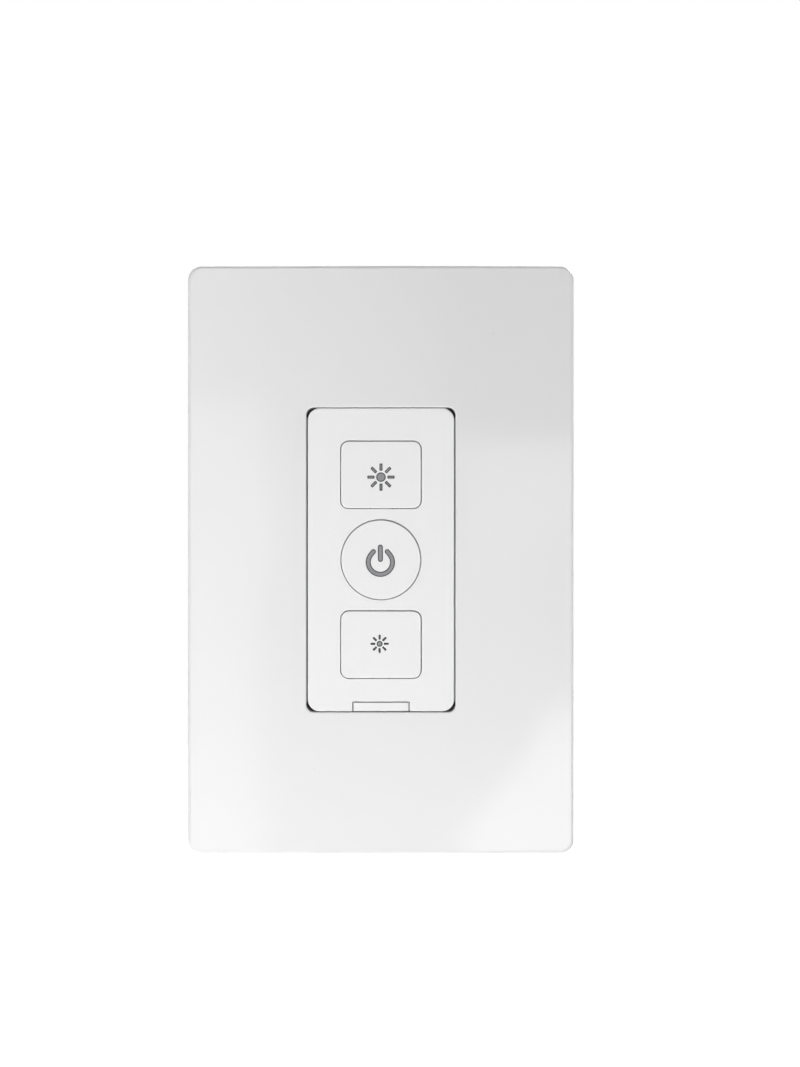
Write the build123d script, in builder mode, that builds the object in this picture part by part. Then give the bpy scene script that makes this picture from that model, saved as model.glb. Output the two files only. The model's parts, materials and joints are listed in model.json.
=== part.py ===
"""Smart dimmer switch for a single wall box, with a screwless cover plate that clips on.

Millimetres. X runs to the right as seen from the room, Y into the wall and Z up. The origin lies on the
wall surface, behind the centre of the insert. A height is a distance from the wall towards the room,
along -Y, so whatever lies inside the wall box has a negative height.
"""

from build123d import *
from math import cos, radians, sin, tan
import os

# Cover plate
cover_width = 84.8
cover_height = 129.0
cover_depth = 6.9
cover_crown = 0.4
cover_wall = 1.9
cover_corner_radius = 3.2
cover_edge_round = 0.75
cover_wall_gap = 0.3
opening_width = 32.7
opening_height = 66.8
opening_corner_radius = 1.7
opening_edge_round = 0.25
collar_wall = 1.2
collar_clearance = 0.3
pry_notch_height = 2.7
pry_notch_centre_z = -30.0
pry_notch_depth = 0.45
pry_notch_margin = 1.0

# Snap ridges inside the cover's long sides, and the beads of the carrier plate that click between them
ridge_height = 0.2
ridge_pitch = 0.9
ridge_count = 3
ridge_length = 8.0
ridge_centre_z = 38.0
ridge_margin = 0.6
bead_height = 0.1

# Carrier plate, screwed to the mounting strap, its rim on the wall
carrier_clearance = 0.35
carrier_skirt = 1.5
carrier_web = 1.8
carrier_corner_radius = 2.2
carrier_opening_clearance = 0.3

# Mounting strap, with the standard hole spacings of a wall box
strap_wall_gap = 0.3
strap_thickness = 1.5
strap_side_lap = 0.5
strap_end_lap = 2.5
strap_height = 106.0
ear_width = 31.0
ear_corner_radius = 3.0
box_screw_spacing = 83.34
carrier_screw_spacing = 96.84
strap_slot_length = 6.4
strap_slot_width = 4.4
strap_window_height = 54.4

# Screws with a 6-32 thread, and their retaining washers
thread_radius = 1.75
neck_radius = 1.4
hole_clearance = 0.05
driver_slot_width = 0.9
driver_slot_depth = 0.8
box_screw_head_radius = 3.43
box_screw_head_height = 2.0
box_screw_head_clearance = 0.27
box_screw_length = 25.4
retainer_size = 8.0
retainer_thickness = 0.8
carrier_screw_head_radius = 3.2
carrier_screw_head_height = 1.3
carrier_screw_length = 6.0
carrier_hole_clearance = 0.15
ground_screw_x = -10.5
ground_screw_z = -45.5
ground_head_radius = 3.9
ground_head_height = 2.2
ground_head_chamfer = 0.45

# Insert frame
insert_side_gap = 0.3
insert_end_gap = 0.15
insert_height_above_wall = 7.3
insert_corner_radius = 2.6
insert_wall = 1.5
insert_face = 1.6
insert_edge_round = 0.25
leg_thickness = 1.2
leg_width = 5.0
leg_centre_z = 20.0
leg_clearance = 0.15
barb_reach = 0.75
barb_height = 1.1

# Buttons
button_pitch = 18.62
button_width = 17.54
button_height = 14.69
button_corner_radius = 1.72
round_button_radius = 8.71
button_gap = 0.18
button_proud = 0.1
button_face = 1.5
button_skirt = 1.2
button_edge_round = 0.2
button_travel = 0.5
post_gap = 0.02
lug_reach = 0.8
lug_length = 6.0
lug_height = 1.0
lug_clearance = 0.1
post_radius = 1.2
post_offset_z = -6.0

# Icons, as clear guides that fill holes in the buttons
icon_fit = 0.02
icon_offsets = {"brighten": (0.0, -0.5), "power": (-0.13, -0.55), "dim": (-0.3, 0.18)}
pad_radius = 3.9
pad_thickness = 0.9
large_sun = {"disc": 1.03, "ray_inner": 1.42, "ray_outer": 2.98, "ray_width": 0.64}
small_sun = {"disc": 0.64, "ray_inner": 0.95, "ray_outer": 1.98, "ray_width": 0.44}
sun_rays = 8
ray_end_rounding = 0.3
power_ring_radius = 2.66
power_stroke = 1.08
power_arm_angle = 50.0
power_arm_length = 0.8
power_bar_length = 3.78
power_bar_start = 0.07

# Air-gap tab in the insert's lower edge: pulling it out opens the mains contact
tab_width = 12.05
tab_height = 1.9
tab_gap = 0.25
tab_travel = 2.5
tab_strap_clearance = 0.3
tab_stop_clearance = 0.1
tab_edge_chamfer = 0.25
stem_width = 5.0
stem_thickness = 1.6
stem_clearance = 0.4
stem_depth = 9.0
stem_housing_gap = 0.5
peg_radius = 0.6
peg_proud = 0.3
bridge_width = 9.0
bridge_height = 1.8
bridge_thickness = 0.8
contact_x = 3.2
contact_radius = 1.0
contact_thickness = 0.6
contact_gap = 0.05
contact_post_width = 2.0
contact_post_thickness = 1.0

# Tact switches under the buttons, and the lamps under the icons
switch_size = 4.5
switch_height = 3.1
switch_lid = 0.6
plunger_radius = 1.1
plunger_reserve = 0.2
plunger_clearance = 0.06
plunger_flange_radius = 1.5
plunger_flange = 0.4
chamber_radius = 1.8
dome_radius = 1.7
dome_rise = 0.35
dome_thickness = 0.12
dome_clearance = 0.09
led_width = 2.0
led_length = 1.2
led_height = 0.6

# Control board, its insulating sheet and what it carries on its back
board_thickness = 1.6
board_corner_radius = 1.0
control_board_gap = 0.4
control_board_leg_gap = 0.35
control_board_stem_gap = 1.2
control_board_end_gap = 2.7
insulator_gap = 0.05
insulator_thickness = 0.2
insulator_margin = 0.4
radio_width = 16.0
radio_height = 17.0
radio_thickness = 0.8
radio_z = 8.0
can_width = 13.0
can_height = 11.5
can_depth = 2.2
can_margin = 0.8
chip_size = 7.0
chip_depth = 0.9
chip_z = -9.0

# Header between the two boards
pin_count = 6
pin_pitch = 2.54
pin_size = 0.64
pin_clearance = 0.03
header_inset = 5.0
header_height = 2.5
socket_height = 5.0

# Power board and what it carries
power_board_depth = 22.0
power_board_side_gap = 1.0
power_board_end_gap = 0.5
power_board_boss_gap_x = 1.7
power_board_boss_gap_z = 1.4
standoff_inset_x = 4.5
standoff_inset_z = 3.0
board_screw_radius = 1.0
board_screw_head_radius = 1.8
board_screw_head_height = 1.2
board_screw_length = 6.0
sink_screw_gap = 2.0
sink_row_gap = 1.5
sink_height = 15.0
sink_thickness = 1.6
sink_foot_width = 4.0
sink_foot_length = 4.0
case_width = 10.0
case_height = 9.0
case_thickness = 4.4
case_spacing = 13.0
lead_length = 4.0
lead_width = 0.8
lead_thickness = 0.6
bulk_capacitor_radius = 5.0
bulk_capacitor_height = 13.0
bulk_capacitor_x = -8.0
lower_row_contact_gap = 2.1
transformer_width = 12.0
transformer_height = 10.0
transformer_depth = 11.0
transformer_screw_gap = 1.2
core_width = 7.0
core_proud = 0.8
choke_radius = 4.5
choke_height = 10.0
choke_z = 3.0
film_width = 13.0
film_thickness = 6.0
film_height = 11.0
film_gap = 2.0
film_screw_gap = 1.0
coil_radius = 3.8
coil_height = 8.0
coil_screw_gap = 2.2
coil_z = 14.0
varistor_radius = 4.0
varistor_thickness = 3.6
varistor_x = -8.0
varistor_z = 2.5
varistor_lift = 0.6
varistor_lead = 0.7
fuse_radius = 2.6
fuse_height = 7.0
fuse_side_margin = 3.9
fuse_end_margin = 0.9
component_round = 0.6
rectifier_width = 8.0
rectifier_height = 6.4
rectifier_depth = 3.0
rectifier_z = 14.0

# Rear housing
housing_width = 43.6
housing_depth = 33.0
housing_wall = 1.8
housing_corner_radius = 2.0
housing_edge_chamfer = 1.0
boss_radius = 3.0
boss_inset = 3.1
housing_screw_depth = 8.0
housing_screw_radius = 1.25
housing_screw_head_radius = 2.2
housing_screw_head_height = 1.6
housing_screw_tip_margin = 0.2
well_clearance = 0.2
shelf_thickness = 1.5
shelf_depth = 3.0
shelf_lap = 0.6
shelf_inset = 6.7
standoff_radius = 2.0
standoff_hole_margin = 0.5

# Back of the housing: a shallow panel, the ejector pins' marks and a gauge for stripped wire
panel_depth = 0.4
panel_margin = 1.3
panel_corner_radius = 1.2
ejector_radius = 1.6
ejector_depth = 0.15
ejector_inset = 4.0
gauge_length = 15.9
gauge_width = 2.4
gauge_depth = 0.5
gauge_inset = 5.0

# Wire terminals in the sides of the housing
terminal_z = 12.0
pocket_height = 10.0
pocket_length = 9.0
pocket_start_depth = 7.5
pocket_depth = 4.2
pocket_wall = 1.3
terminal_plate = 1.0
terminal_margin = 0.3
terminal_leg_width = 3.0
terminal_leg_clearance = 0.15
clamp_size = 7.0
clamp_thickness = 0.8
clamp_gap = 0.2
terminal_head_radius = 3.1
terminal_head_height = 1.8
terminal_screw_reach = 2.6
terminal_hole_clearance = 0.3

# Heights and places that follow from the sizes above
strap_back = strap_wall_gap
strap_front = strap_back + strap_thickness
carrier_top = strap_front + carrier_web
cover_edge_height = cover_wall_gap + cover_depth
cover_ceiling = cover_edge_height - cover_wall
cover_inner_width = cover_width - 2 * cover_wall
cover_inner_height = cover_height - 2 * cover_wall
carrier_width = cover_inner_width - 2 * carrier_clearance
carrier_height = cover_inner_height - 2 * carrier_clearance
insert_width = opening_width - 2 * insert_side_gap
insert_height = opening_height - 2 * insert_end_gap
face_back = insert_height_above_wall - insert_face
leg_outer_x = insert_width / 2 - insert_wall
strap_window_width = 2 * (leg_outer_x + leg_clearance)

board_front = strap_back - control_board_gap
board_back = board_front - board_thickness
button_top = insert_height_above_wall + button_proud
cap_ceiling = button_top - button_face
plunger_tip = board_front + switch_height + button_travel + plunger_reserve
cap_back = plunger_tip + post_gap
lug_top = face_back - lug_clearance

tab_bottom = -insert_height / 2
tab_top = tab_bottom + tab_height
tab_back = strap_front + tab_strap_clearance
flange_top = face_back - tab_travel - tab_stop_clearance
stem_top = tab_top + stem_thickness
stem_z = (tab_top + stem_top) / 2
bridge_back = -stem_depth - bridge_thickness

housing_floor = housing_wall - housing_depth
housing_inner_x = housing_width / 2 - housing_wall
housing_inner_z = stem_housing_gap - tab_top
housing_height = 2 * (housing_inner_z + housing_wall)
boss_x = housing_width / 2 - boss_inset
boss_z = housing_height / 2 - boss_inset
strap_width = housing_width + 2 * strap_side_lap
strap_body_height = housing_height + 2 * strap_end_lap

control_board_width = 2 * (leg_outer_x - leg_thickness - control_board_leg_gap)
control_board_bottom = stem_top + control_board_stem_gap
control_board_top = housing_inner_z - control_board_end_gap
control_board_height = control_board_top - control_board_bottom
control_board_z = (control_board_bottom + control_board_top) / 2
header_z = control_board_top - header_inset
shelf_z = housing_inner_z - shelf_inset
shelf_reach = housing_inner_x - control_board_width / 2 + shelf_lap

power_front = -power_board_depth
power_back = power_front - board_thickness
power_board_width = 2 * (housing_inner_x - power_board_side_gap)
power_board_height = 2 * (housing_inner_z - power_board_end_gap)
power_board_end_width = 2 * (boss_x - boss_radius - power_board_boss_gap_x)
power_board_waist_height = 2 * (boss_z - boss_radius - power_board_boss_gap_z)
standoff_x = power_board_width / 2 - standoff_inset_x
standoff_z = power_board_waist_height / 2 - standoff_inset_z

pocket_floor_x = housing_width / 2 - pocket_depth
pocket_inner_x = pocket_floor_x - pocket_wall
terminal_tip_x = pocket_floor_x - terminal_screw_reach
core_reach = transformer_height / 2 + core_proud
lower_row_z = stem_z + contact_radius + lower_row_contact_gap + core_reach
sink_z = lower_row_z + core_reach + sink_row_gap + sink_foot_length - sink_thickness / 2
sink_width = 2 * (terminal_tip_x - sink_screw_gap)
transformer_x = (
    standoff_x - board_screw_head_radius - transformer_screw_gap - transformer_width / 2
)
choke_x = terminal_tip_x - film_screw_gap - film_width / 2
film_z = choke_z + choke_radius + film_gap + film_thickness / 2
coil_x = coil_screw_gap + coil_radius - terminal_tip_x
fuse_x = power_board_width / 2 - fuse_side_margin - fuse_radius
fuse_z = power_board_waist_height / 2 - fuse_end_margin - fuse_radius
pocket_end_depth = pocket_start_depth + pocket_length
terminal_height = -(pocket_start_depth + pocket_end_depth) / 2
plate_outer_x = pocket_floor_x + terminal_plate
clamp_inner_x = plate_outer_x + clamp_gap
clamp_outer_x = clamp_inner_x + clamp_thickness
header_width = pin_count * pin_pitch

button_centres = {"brighten": button_pitch, "power": 0.0, "dim": -button_pitch}
terminal_places = {"line": (1, 1), "load": (1, -1), "neutral": (-1, 1), "traveller": (-1, -1)}
sides = (-1, 1)


def front(height, x=0.0, z=0.0):
    """A sketch plane parallel to the wall at this height, facing the room, with its origin at x and z."""
    return Plane(origin=(x, -height, z), x_dir=(1, 0, 0), z_dir=(0, -1, 0))


def button_plane(name, height):
    """A sketch plane at this height with its origin at the centre of a button."""
    return front(height, 0, button_centres[name])


def icon_plane(name, height):
    """A sketch plane at this height with its origin at the centre of a button's icon."""
    offset_x, offset_z = icon_offsets[name]
    return front(height, offset_x, button_centres[name] + offset_z)


def block(x_size, z_size, low, high, x=0.0, z=0.0, mode=Mode.ADD):
    """A block between two heights in the part being built."""
    with Locations((x, -(low + high) / 2, z)):
        Box(x_size, high - low, z_size, mode=mode)


def rod(radius, low, high, x=0.0, z=0.0, mode=Mode.ADD):
    """A round bar between two heights in the part being built."""
    with Locations(Location((x, -(low + high) / 2, z), (90, 0, 0))):
        Cylinder(radius, high - low, mode=mode)


def flare(low_radius, high_radius, low, high, x=0.0, z=0.0, mode=Mode.ADD):
    """A cone between two heights in the part being built."""
    with Locations(Location((x, -(low + high) / 2, z), (90, 0, 0))):
        Cone(low_radius, high_radius, high - low, mode=mode)


def bar(radius, inner_x, outer_x, side, z, mode=Mode.ADD):
    """A round bar along X between two distances from the middle, at the terminals' height."""
    with Locations(Location((side * (inner_x + outer_x) / 2, -terminal_height, z), (0, 90, 0))):
        Cylinder(radius, outer_x - inner_x, mode=mode)


def driver_slot(head_radius, top, facing, x, z):
    """The slot across a screw's head, whose top lies at this height."""
    floor = top - facing * driver_slot_depth
    block(2 * head_radius, driver_slot_width, min(top, floor), max(top, floor), x, z, Mode.SUBTRACT)


def screw(head_radius, head_height, seat, shank_radius, length, x, z, facing=1):
    """A slotted screw along Y. Its head lies on the room side of its seat, or behind it if facing is -1."""
    top = seat + facing * head_height
    tip = seat - facing * length
    rod(head_radius, min(seat, top), max(seat, top), x, z)
    rod(shank_radius, min(seat, tip), max(seat, tip), x, z)
    driver_slot(head_radius, top, facing, x, z)


def draw_sun(disc, ray_inner, ray_outer, ray_width, grow):
    """A disc with rays round it, in the sketch being drawn."""
    Circle(disc + grow)
    with PolarLocations((ray_inner + ray_outer) / 2, sun_rays):
        RectangleRounded(
            ray_outer - ray_inner + 2 * grow,
            ray_width + 2 * grow,
            ray_width * ray_end_rounding,
        )


def draw_power(grow):
    """An open ring whose ends run on straight, and an upright bar, in the sketch being drawn."""
    stroke = power_stroke + 2 * grow
    angle = radians(power_arm_angle)
    reach = 2 * power_ring_radius
    half_gap = reach * tan(angle)
    Circle(power_ring_radius + stroke / 2)
    Circle(power_ring_radius - stroke / 2, mode=Mode.SUBTRACT)
    Polygon((0, 0), (half_gap, reach), (-half_gap, reach), align=None, mode=Mode.SUBTRACT)
    for side in sides:
        start = Vector(side * power_ring_radius * sin(angle), power_ring_radius * cos(angle))
        along = Vector(-side * cos(angle), sin(angle))
        with Locations(start + along * (power_arm_length / 2)):
            SlotCenterToCenter(power_arm_length, stroke, rotation=-side * power_arm_angle)
    with Locations((0, power_bar_start + power_bar_length / 2)):
        SlotOverall(power_bar_length + 2 * grow, stroke, rotation=90)


def draw_icon(name, grow=0.0):
    """The icon of a button, in the sketch being drawn."""
    if name == "brighten":
        draw_sun(**large_sun, grow=grow)
    elif name == "dim":
        draw_sun(**small_sun, grow=grow)
    else:
        draw_power(grow)


def draw_button(name, grow=0.0):
    """The outline of a button, in the sketch being drawn."""
    if name == "power":
        Circle(round_button_radius + grow)
    else:
        RectangleRounded(
            button_width + 2 * grow,
            button_height + 2 * grow,
            button_corner_radius + grow,
        )


os.makedirs("parts", exist_ok=True)

# Cover plate: a crowned shell with a collar round its opening and snap ridges inside its long sides
crown_radius = ((cover_width / 2) ** 2 + cover_crown**2) / (2 * cover_crown)
ridge_first_height = cover_wall_gap + ridge_margin
with BuildPart() as cover_plate:
    with BuildSketch(front(cover_wall_gap)):
        RectangleRounded(cover_width, cover_height, cover_corner_radius)
    extrude(amount=cover_depth + cover_crown)
    with BuildSketch(Plane.XY):
        with Locations((0, crown_radius - cover_edge_height - cover_crown)):
            Circle(crown_radius)
    extrude(amount=cover_height, both=True, mode=Mode.INTERSECT)
    front_edges = cover_plate.edges().filter_by(
        lambda edge: edge.center().Y < cover_edge_round - cover_edge_height
        and edge.bounding_box().size.Y <= cover_crown + cover_edge_round
    )
    fillet(front_edges, cover_edge_round)
    with BuildSketch(front(cover_wall_gap)):
        RectangleRounded(cover_inner_width, cover_inner_height, carrier_corner_radius)
    extrude(amount=cover_ceiling - cover_wall_gap, mode=Mode.SUBTRACT)
    with BuildSketch(front(carrier_top + collar_clearance)):
        RectangleRounded(
            opening_width + 2 * collar_wall,
            opening_height + 2 * collar_wall,
            opening_corner_radius + collar_wall,
        )
    extrude(amount=cover_ceiling - carrier_top - collar_clearance)
    with BuildSketch(front(0)):
        RectangleRounded(opening_width, opening_height, opening_corner_radius)
    extrude(amount=cover_edge_height + 2 * cover_crown, mode=Mode.SUBTRACT)
    opening_edges = cover_plate.edges().filter_by(
        lambda edge: edge.center().Y < -cover_edge_height
        and abs(edge.center().X) < opening_width / 2 + opening_edge_round
        and abs(edge.center().Z) < opening_height / 2 + opening_edge_round
    )
    fillet(opening_edges, opening_edge_round)
    for side in sides:
        for end in sides:
            for step in range(ridge_count):
                wall_x = side * cover_inner_width / 2
                ridge_y = -(ridge_first_height + step * ridge_pitch)
                with BuildSketch(Plane.XY.offset(end * ridge_centre_z - ridge_length / 2)):
                    Polygon(
                        (wall_x + side * ridge_height, ridge_y - ridge_pitch / 2),
                        (wall_x - side * ridge_height, ridge_y),
                        (wall_x + side * ridge_height, ridge_y + ridge_pitch / 2),
                        align=None,
                    )
                extrude(amount=ridge_length)
    block(
        2 * pry_notch_depth,
        pry_notch_height,
        0,
        cover_edge_height - pry_notch_margin,
        -cover_width / 2,
        pry_notch_centre_z,
        Mode.SUBTRACT,
    )
cover_plate.part.label = "cover_plate"
export_step(cover_plate.part, "parts/cover_plate.step")

# Carrier plate: a shallow tray over the strap, open for the insert and for the box screws' heads
bead_y = -(ridge_first_height + ridge_pitch / 2)
with BuildPart() as carrier_plate:
    with BuildSketch(front(0)):
        RectangleRounded(carrier_width, carrier_height, carrier_corner_radius)
    extrude(amount=carrier_top)
    with BuildSketch(front(0)):
        Rectangle(carrier_width - 2 * carrier_skirt, carrier_height - 2 * carrier_skirt)
    extrude(amount=strap_front, mode=Mode.SUBTRACT)
    with BuildSketch(front(0)):
        RectangleRounded(
            insert_width + 2 * carrier_opening_clearance,
            insert_height + 2 * carrier_opening_clearance,
            insert_corner_radius + carrier_opening_clearance,
        )
        with GridLocations(0, box_screw_spacing, 1, 2):
            Circle(box_screw_head_radius + box_screw_head_clearance)
        with GridLocations(0, carrier_screw_spacing, 1, 2):
            Circle(thread_radius + carrier_hole_clearance)
    extrude(amount=carrier_top, mode=Mode.SUBTRACT)
    for end in sides:
        flare(
            thread_radius + hole_clearance,
            carrier_screw_head_radius + hole_clearance,
            carrier_top - carrier_screw_head_height,
            carrier_top,
            0,
            end * carrier_screw_spacing / 2,
            Mode.SUBTRACT,
        )
        for side in sides:
            wall_x = side * carrier_width / 2
            with BuildSketch(Plane.XY.offset(end * ridge_centre_z - ridge_length / 2)):
                Polygon(
                    (wall_x - side * bead_height, bead_y - ridge_pitch / 4),
                    (wall_x + side * bead_height, bead_y),
                    (wall_x - side * bead_height, bead_y + ridge_pitch / 4),
                    align=None,
                )
            extrude(amount=ridge_length)
carrier_plate.part.label = "carrier_plate"
export_step(carrier_plate.part, "parts/carrier_plate.step")

with BuildPart() as carrier_screws:
    for end in sides:
        screw_z = end * carrier_screw_spacing / 2
        head_low = carrier_top - carrier_screw_head_height
        rod(thread_radius, carrier_top - carrier_screw_length, head_low, 0, screw_z)
        flare(thread_radius, carrier_screw_head_radius, head_low, carrier_top, 0, screw_z)
        driver_slot(carrier_screw_head_radius, carrier_top, 1, 0, screw_z)
carrier_screws.part.label = "carrier_screws"
export_step(carrier_screws.part, "parts/carrier_screws.step")

# Mounting strap: one flat plate with a window for the switches, slots for the box screws and tapped holes
with BuildPart() as mounting_strap:
    with BuildSketch(front(strap_back)):
        RectangleRounded(ear_width, strap_height, ear_corner_radius)
        Rectangle(strap_width, strap_body_height)
        Rectangle(strap_window_width, strap_window_height, mode=Mode.SUBTRACT)
        with Locations((0, stem_z)):
            Rectangle(
                stem_width + 2 * stem_clearance,
                stem_thickness + 2 * stem_clearance,
                mode=Mode.SUBTRACT,
            )
        with GridLocations(0, box_screw_spacing, 1, 2):
            SlotOverall(strap_slot_length, strap_slot_width, mode=Mode.SUBTRACT)
        with GridLocations(0, carrier_screw_spacing, 1, 2):
            Circle(thread_radius + hole_clearance, mode=Mode.SUBTRACT)
        with GridLocations(2 * boss_x, 2 * boss_z, 2, 2):
            Circle(housing_screw_radius + hole_clearance, mode=Mode.SUBTRACT)
        with Locations((ground_screw_x, ground_screw_z)):
            Circle(thread_radius + hole_clearance, mode=Mode.SUBTRACT)
    extrude(amount=strap_thickness)
mounting_strap.part.label = "mounting_strap"
export_step(mounting_strap.part, "parts/mounting_strap.step")

# Box screws: a thin neck in the strap's slot, and a full thread that stands free behind the retainer
with BuildPart() as box_screws:
    for end in sides:
        screw_z = end * box_screw_spacing / 2
        screw(
            box_screw_head_radius,
            box_screw_head_height,
            strap_front,
            neck_radius,
            box_screw_length,
            0,
            screw_z,
        )
        rod(
            thread_radius,
            strap_front - box_screw_length,
            strap_back - retainer_thickness,
            0,
            screw_z,
        )
box_screws.part.label = "box_screws"
export_step(box_screws.part, "parts/box_screws.step")

with BuildPart() as screw_retainers:
    with BuildSketch(front(strap_back - retainer_thickness)):
        with GridLocations(0, box_screw_spacing, 1, 2):
            Rectangle(retainer_size, retainer_size)
            Circle(neck_radius + hole_clearance, mode=Mode.SUBTRACT)
    extrude(amount=retainer_thickness)
screw_retainers.part.label = "screw_retainers"
export_step(screw_retainers.part, "parts/screw_retainers.step")

with BuildPart() as ground_screw:
    with BuildSketch(front(strap_back - ground_head_height, ground_screw_x, ground_screw_z)):
        RegularPolygon(ground_head_radius, 6)
    extrude(amount=ground_head_height)
    chamfer(ground_screw.faces().sort_by(Axis.Y)[-1].edges(), ground_head_chamfer)
    rod(thread_radius, strap_back, strap_front, ground_screw_x, ground_screw_z)
    driver_slot(
        ground_head_radius,
        strap_back - ground_head_height,
        -1,
        ground_screw_x,
        ground_screw_z,
    )
ground_screw.part.label = "ground_screw"
export_step(ground_screw.part, "parts/ground_screw.step")

# Insert frame: the face with its button openings, standing on the strap and hooked behind it
with BuildPart() as insert_frame:
    with BuildSketch(front(strap_front)):
        RectangleRounded(insert_width, insert_height, insert_corner_radius)
    extrude(amount=insert_height_above_wall - strap_front)
    fillet(insert_frame.faces().sort_by(Axis.Y)[0].edges(), insert_edge_round)
    with BuildSketch(front(strap_front)):
        RectangleRounded(
            insert_width - 2 * insert_wall,
            insert_height - 2 * insert_wall,
            insert_corner_radius - insert_wall,
        )
    extrude(amount=face_back - strap_front, mode=Mode.SUBTRACT)
    for name in button_centres:
        with BuildSketch(button_plane(name, face_back)):
            draw_button(name, button_gap)
        extrude(amount=insert_face, mode=Mode.SUBTRACT)
    block(
        tab_width + 2 * tab_gap,
        2 * (tab_height + tab_gap),
        strap_front,
        insert_height_above_wall,
        0,
        tab_bottom,
        Mode.SUBTRACT,
    )
    barb_top = strap_back - leg_clearance
    for side in sides:
        for end in sides:
            block(
                leg_thickness,
                leg_width,
                barb_top - barb_height,
                face_back,
                side * (leg_outer_x - leg_thickness / 2),
                end * leg_centre_z,
            )
            block(
                leg_thickness + barb_reach,
                leg_width,
                barb_top - barb_height,
                barb_top,
                side * (leg_outer_x + (barb_reach - leg_thickness) / 2),
                end * leg_centre_z,
            )
insert_frame.part.label = "insert_frame"
export_step(insert_frame.part, "parts/insert_frame.step")


def button_cap(name):
    """A hollow cap with retaining lugs, a post to its switch and a hole in the shape of its icon."""
    centre_z = button_centres[name]
    lug_start_x = (round_button_radius if name == "power" else button_width / 2) - button_skirt
    lug_length_x = button_skirt + lug_reach
    with BuildPart() as cap:
        with BuildSketch(button_plane(name, cap_back)):
            draw_button(name)
        extrude(amount=button_top - cap_back)
        fillet(cap.faces().sort_by(Axis.Y)[0].edges(), button_edge_round)
        with BuildSketch(button_plane(name, cap_back)):
            draw_button(name, -button_skirt)
        extrude(amount=cap_ceiling - cap_back, mode=Mode.SUBTRACT)
        for side in sides:
            lug_x = side * (lug_start_x + lug_length_x / 2)
            block(lug_length_x, lug_length, lug_top - lug_height, lug_top, lug_x, centre_z)
        rod(post_radius, cap_back, cap_ceiling, 0, centre_z + post_offset_z)
        with BuildSketch(icon_plane(name, cap_ceiling)):
            draw_icon(name, icon_fit)
        extrude(amount=button_face, mode=Mode.SUBTRACT)
    return cap


def icon_guide(name):
    """A clear pad behind the cap's face, with the icon standing on it flush with that face."""
    pad_back = cap_ceiling - pad_thickness
    with BuildPart() as guide:
        with BuildSketch(icon_plane(name, pad_back)):
            Circle(pad_radius)
        extrude(amount=pad_thickness - icon_fit)
        with BuildSketch(icon_plane(name, pad_back)):
            draw_icon(name)
        extrude(amount=pad_thickness + button_face)
    return guide


def switch_plunger(name):
    """The plunger of a tact switch, with the flange that keeps it in."""
    plunger_z = button_centres[name] + post_offset_z
    flange_front = board_front + switch_height - switch_lid - plunger_clearance
    with BuildPart() as plunger:
        rod(plunger_radius, flange_front - plunger_flange, plunger_tip, 0, plunger_z)
        rod(plunger_flange_radius, flange_front - plunger_flange, flange_front, 0, plunger_z)
    return plunger


for name in button_centres:
    button = button_cap(name)
    button.part.label = f"{name}_button"
    export_step(button.part, f"parts/{name}_button.step")

    icon = icon_guide(name)
    icon.part.label = f"{name}_icon"
    export_step(icon.part, f"parts/{name}_icon.step")

    plunger = switch_plunger(name)
    plunger.part.label = f"{name}_plunger"
    export_step(plunger.part, f"parts/{name}_plunger.step")

# Tact switches: bodies with a chamber for the plunger's flange, its travel and a snap dome
chamber_top = board_front + switch_height - switch_lid
pressed_flange_back = chamber_top - plunger_clearance - plunger_flange - button_travel
chamber_floor = pressed_flange_back - dome_clearance - dome_rise
with BuildPart() as switch_bodies:
    for centre_z in button_centres.values():
        switch_z = centre_z + post_offset_z
        hole_radius = plunger_radius + plunger_clearance
        switch_top = board_front + switch_height
        block(switch_size, switch_size, board_front, switch_top, 0, switch_z)
        rod(chamber_radius, chamber_floor, chamber_top, 0, switch_z, Mode.SUBTRACT)
        rod(hole_radius, chamber_top, switch_top, 0, switch_z, Mode.SUBTRACT)
switch_bodies.part.label = "switch_bodies"
export_step(switch_bodies.part, "parts/switch_bodies.step")

inner_radius = dome_radius - dome_thickness
inner_rise = dome_rise - dome_thickness
with BuildPart() as snap_domes:
    for centre_z in button_centres.values():
        dome_centre = (0, -chamber_floor, centre_z + post_offset_z)
        with BuildSketch(Plane(origin=dome_centre, x_dir=(1, 0, 0), z_dir=(0, 0, -1))):
            with BuildLine():
                TangentArc((0, dome_rise), (dome_radius, 0), tangent=(1, 0))
                TangentArc((0, inner_rise), (inner_radius, 0), tangent=(1, 0))
                Line((0, dome_rise), (0, inner_rise))
                Line((dome_radius, 0), (inner_radius, 0))
            make_face()
        revolve(axis=Axis(dome_centre, (0, 1, 0)))
snap_domes.part.label = "snap_domes"
export_step(snap_domes.part, "parts/snap_domes.step")

# Air-gap tab: the tab itself, a flange that stops behind the insert's face and a stem through the strap
with BuildPart() as air_gap_tab:
    block(
        tab_width,
        tab_height,
        tab_back,
        insert_height_above_wall,
        0,
        (tab_bottom + tab_top) / 2,
    )
    chamfer(air_gap_tab.faces().sort_by(Axis.Y)[0].edges().sort_by(Axis.Z)[0], tab_edge_chamfer)
    block(tab_width, stem_top - tab_bottom, tab_back, flange_top, 0, (tab_bottom + stem_top) / 2)
    block(stem_width, stem_thickness, -stem_depth, flange_top, 0, stem_z)
    rod(peg_radius, bridge_back - peg_proud, -stem_depth, 0, stem_z)
air_gap_tab.part.label = "air_gap_tab"
export_step(air_gap_tab.part, "parts/air_gap_tab.step")

# Contact bridge on the stem's end, and the two contacts that it joins until the tab is pulled
with BuildPart() as contact_bridge:
    block(bridge_width, bridge_height, bridge_back, -stem_depth, 0, stem_z)
    rod(peg_radius + hole_clearance, bridge_back, -stem_depth, 0, stem_z, Mode.SUBTRACT)
contact_bridge.part.label = "contact_bridge"
export_step(contact_bridge.part, "parts/contact_bridge.step")

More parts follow.
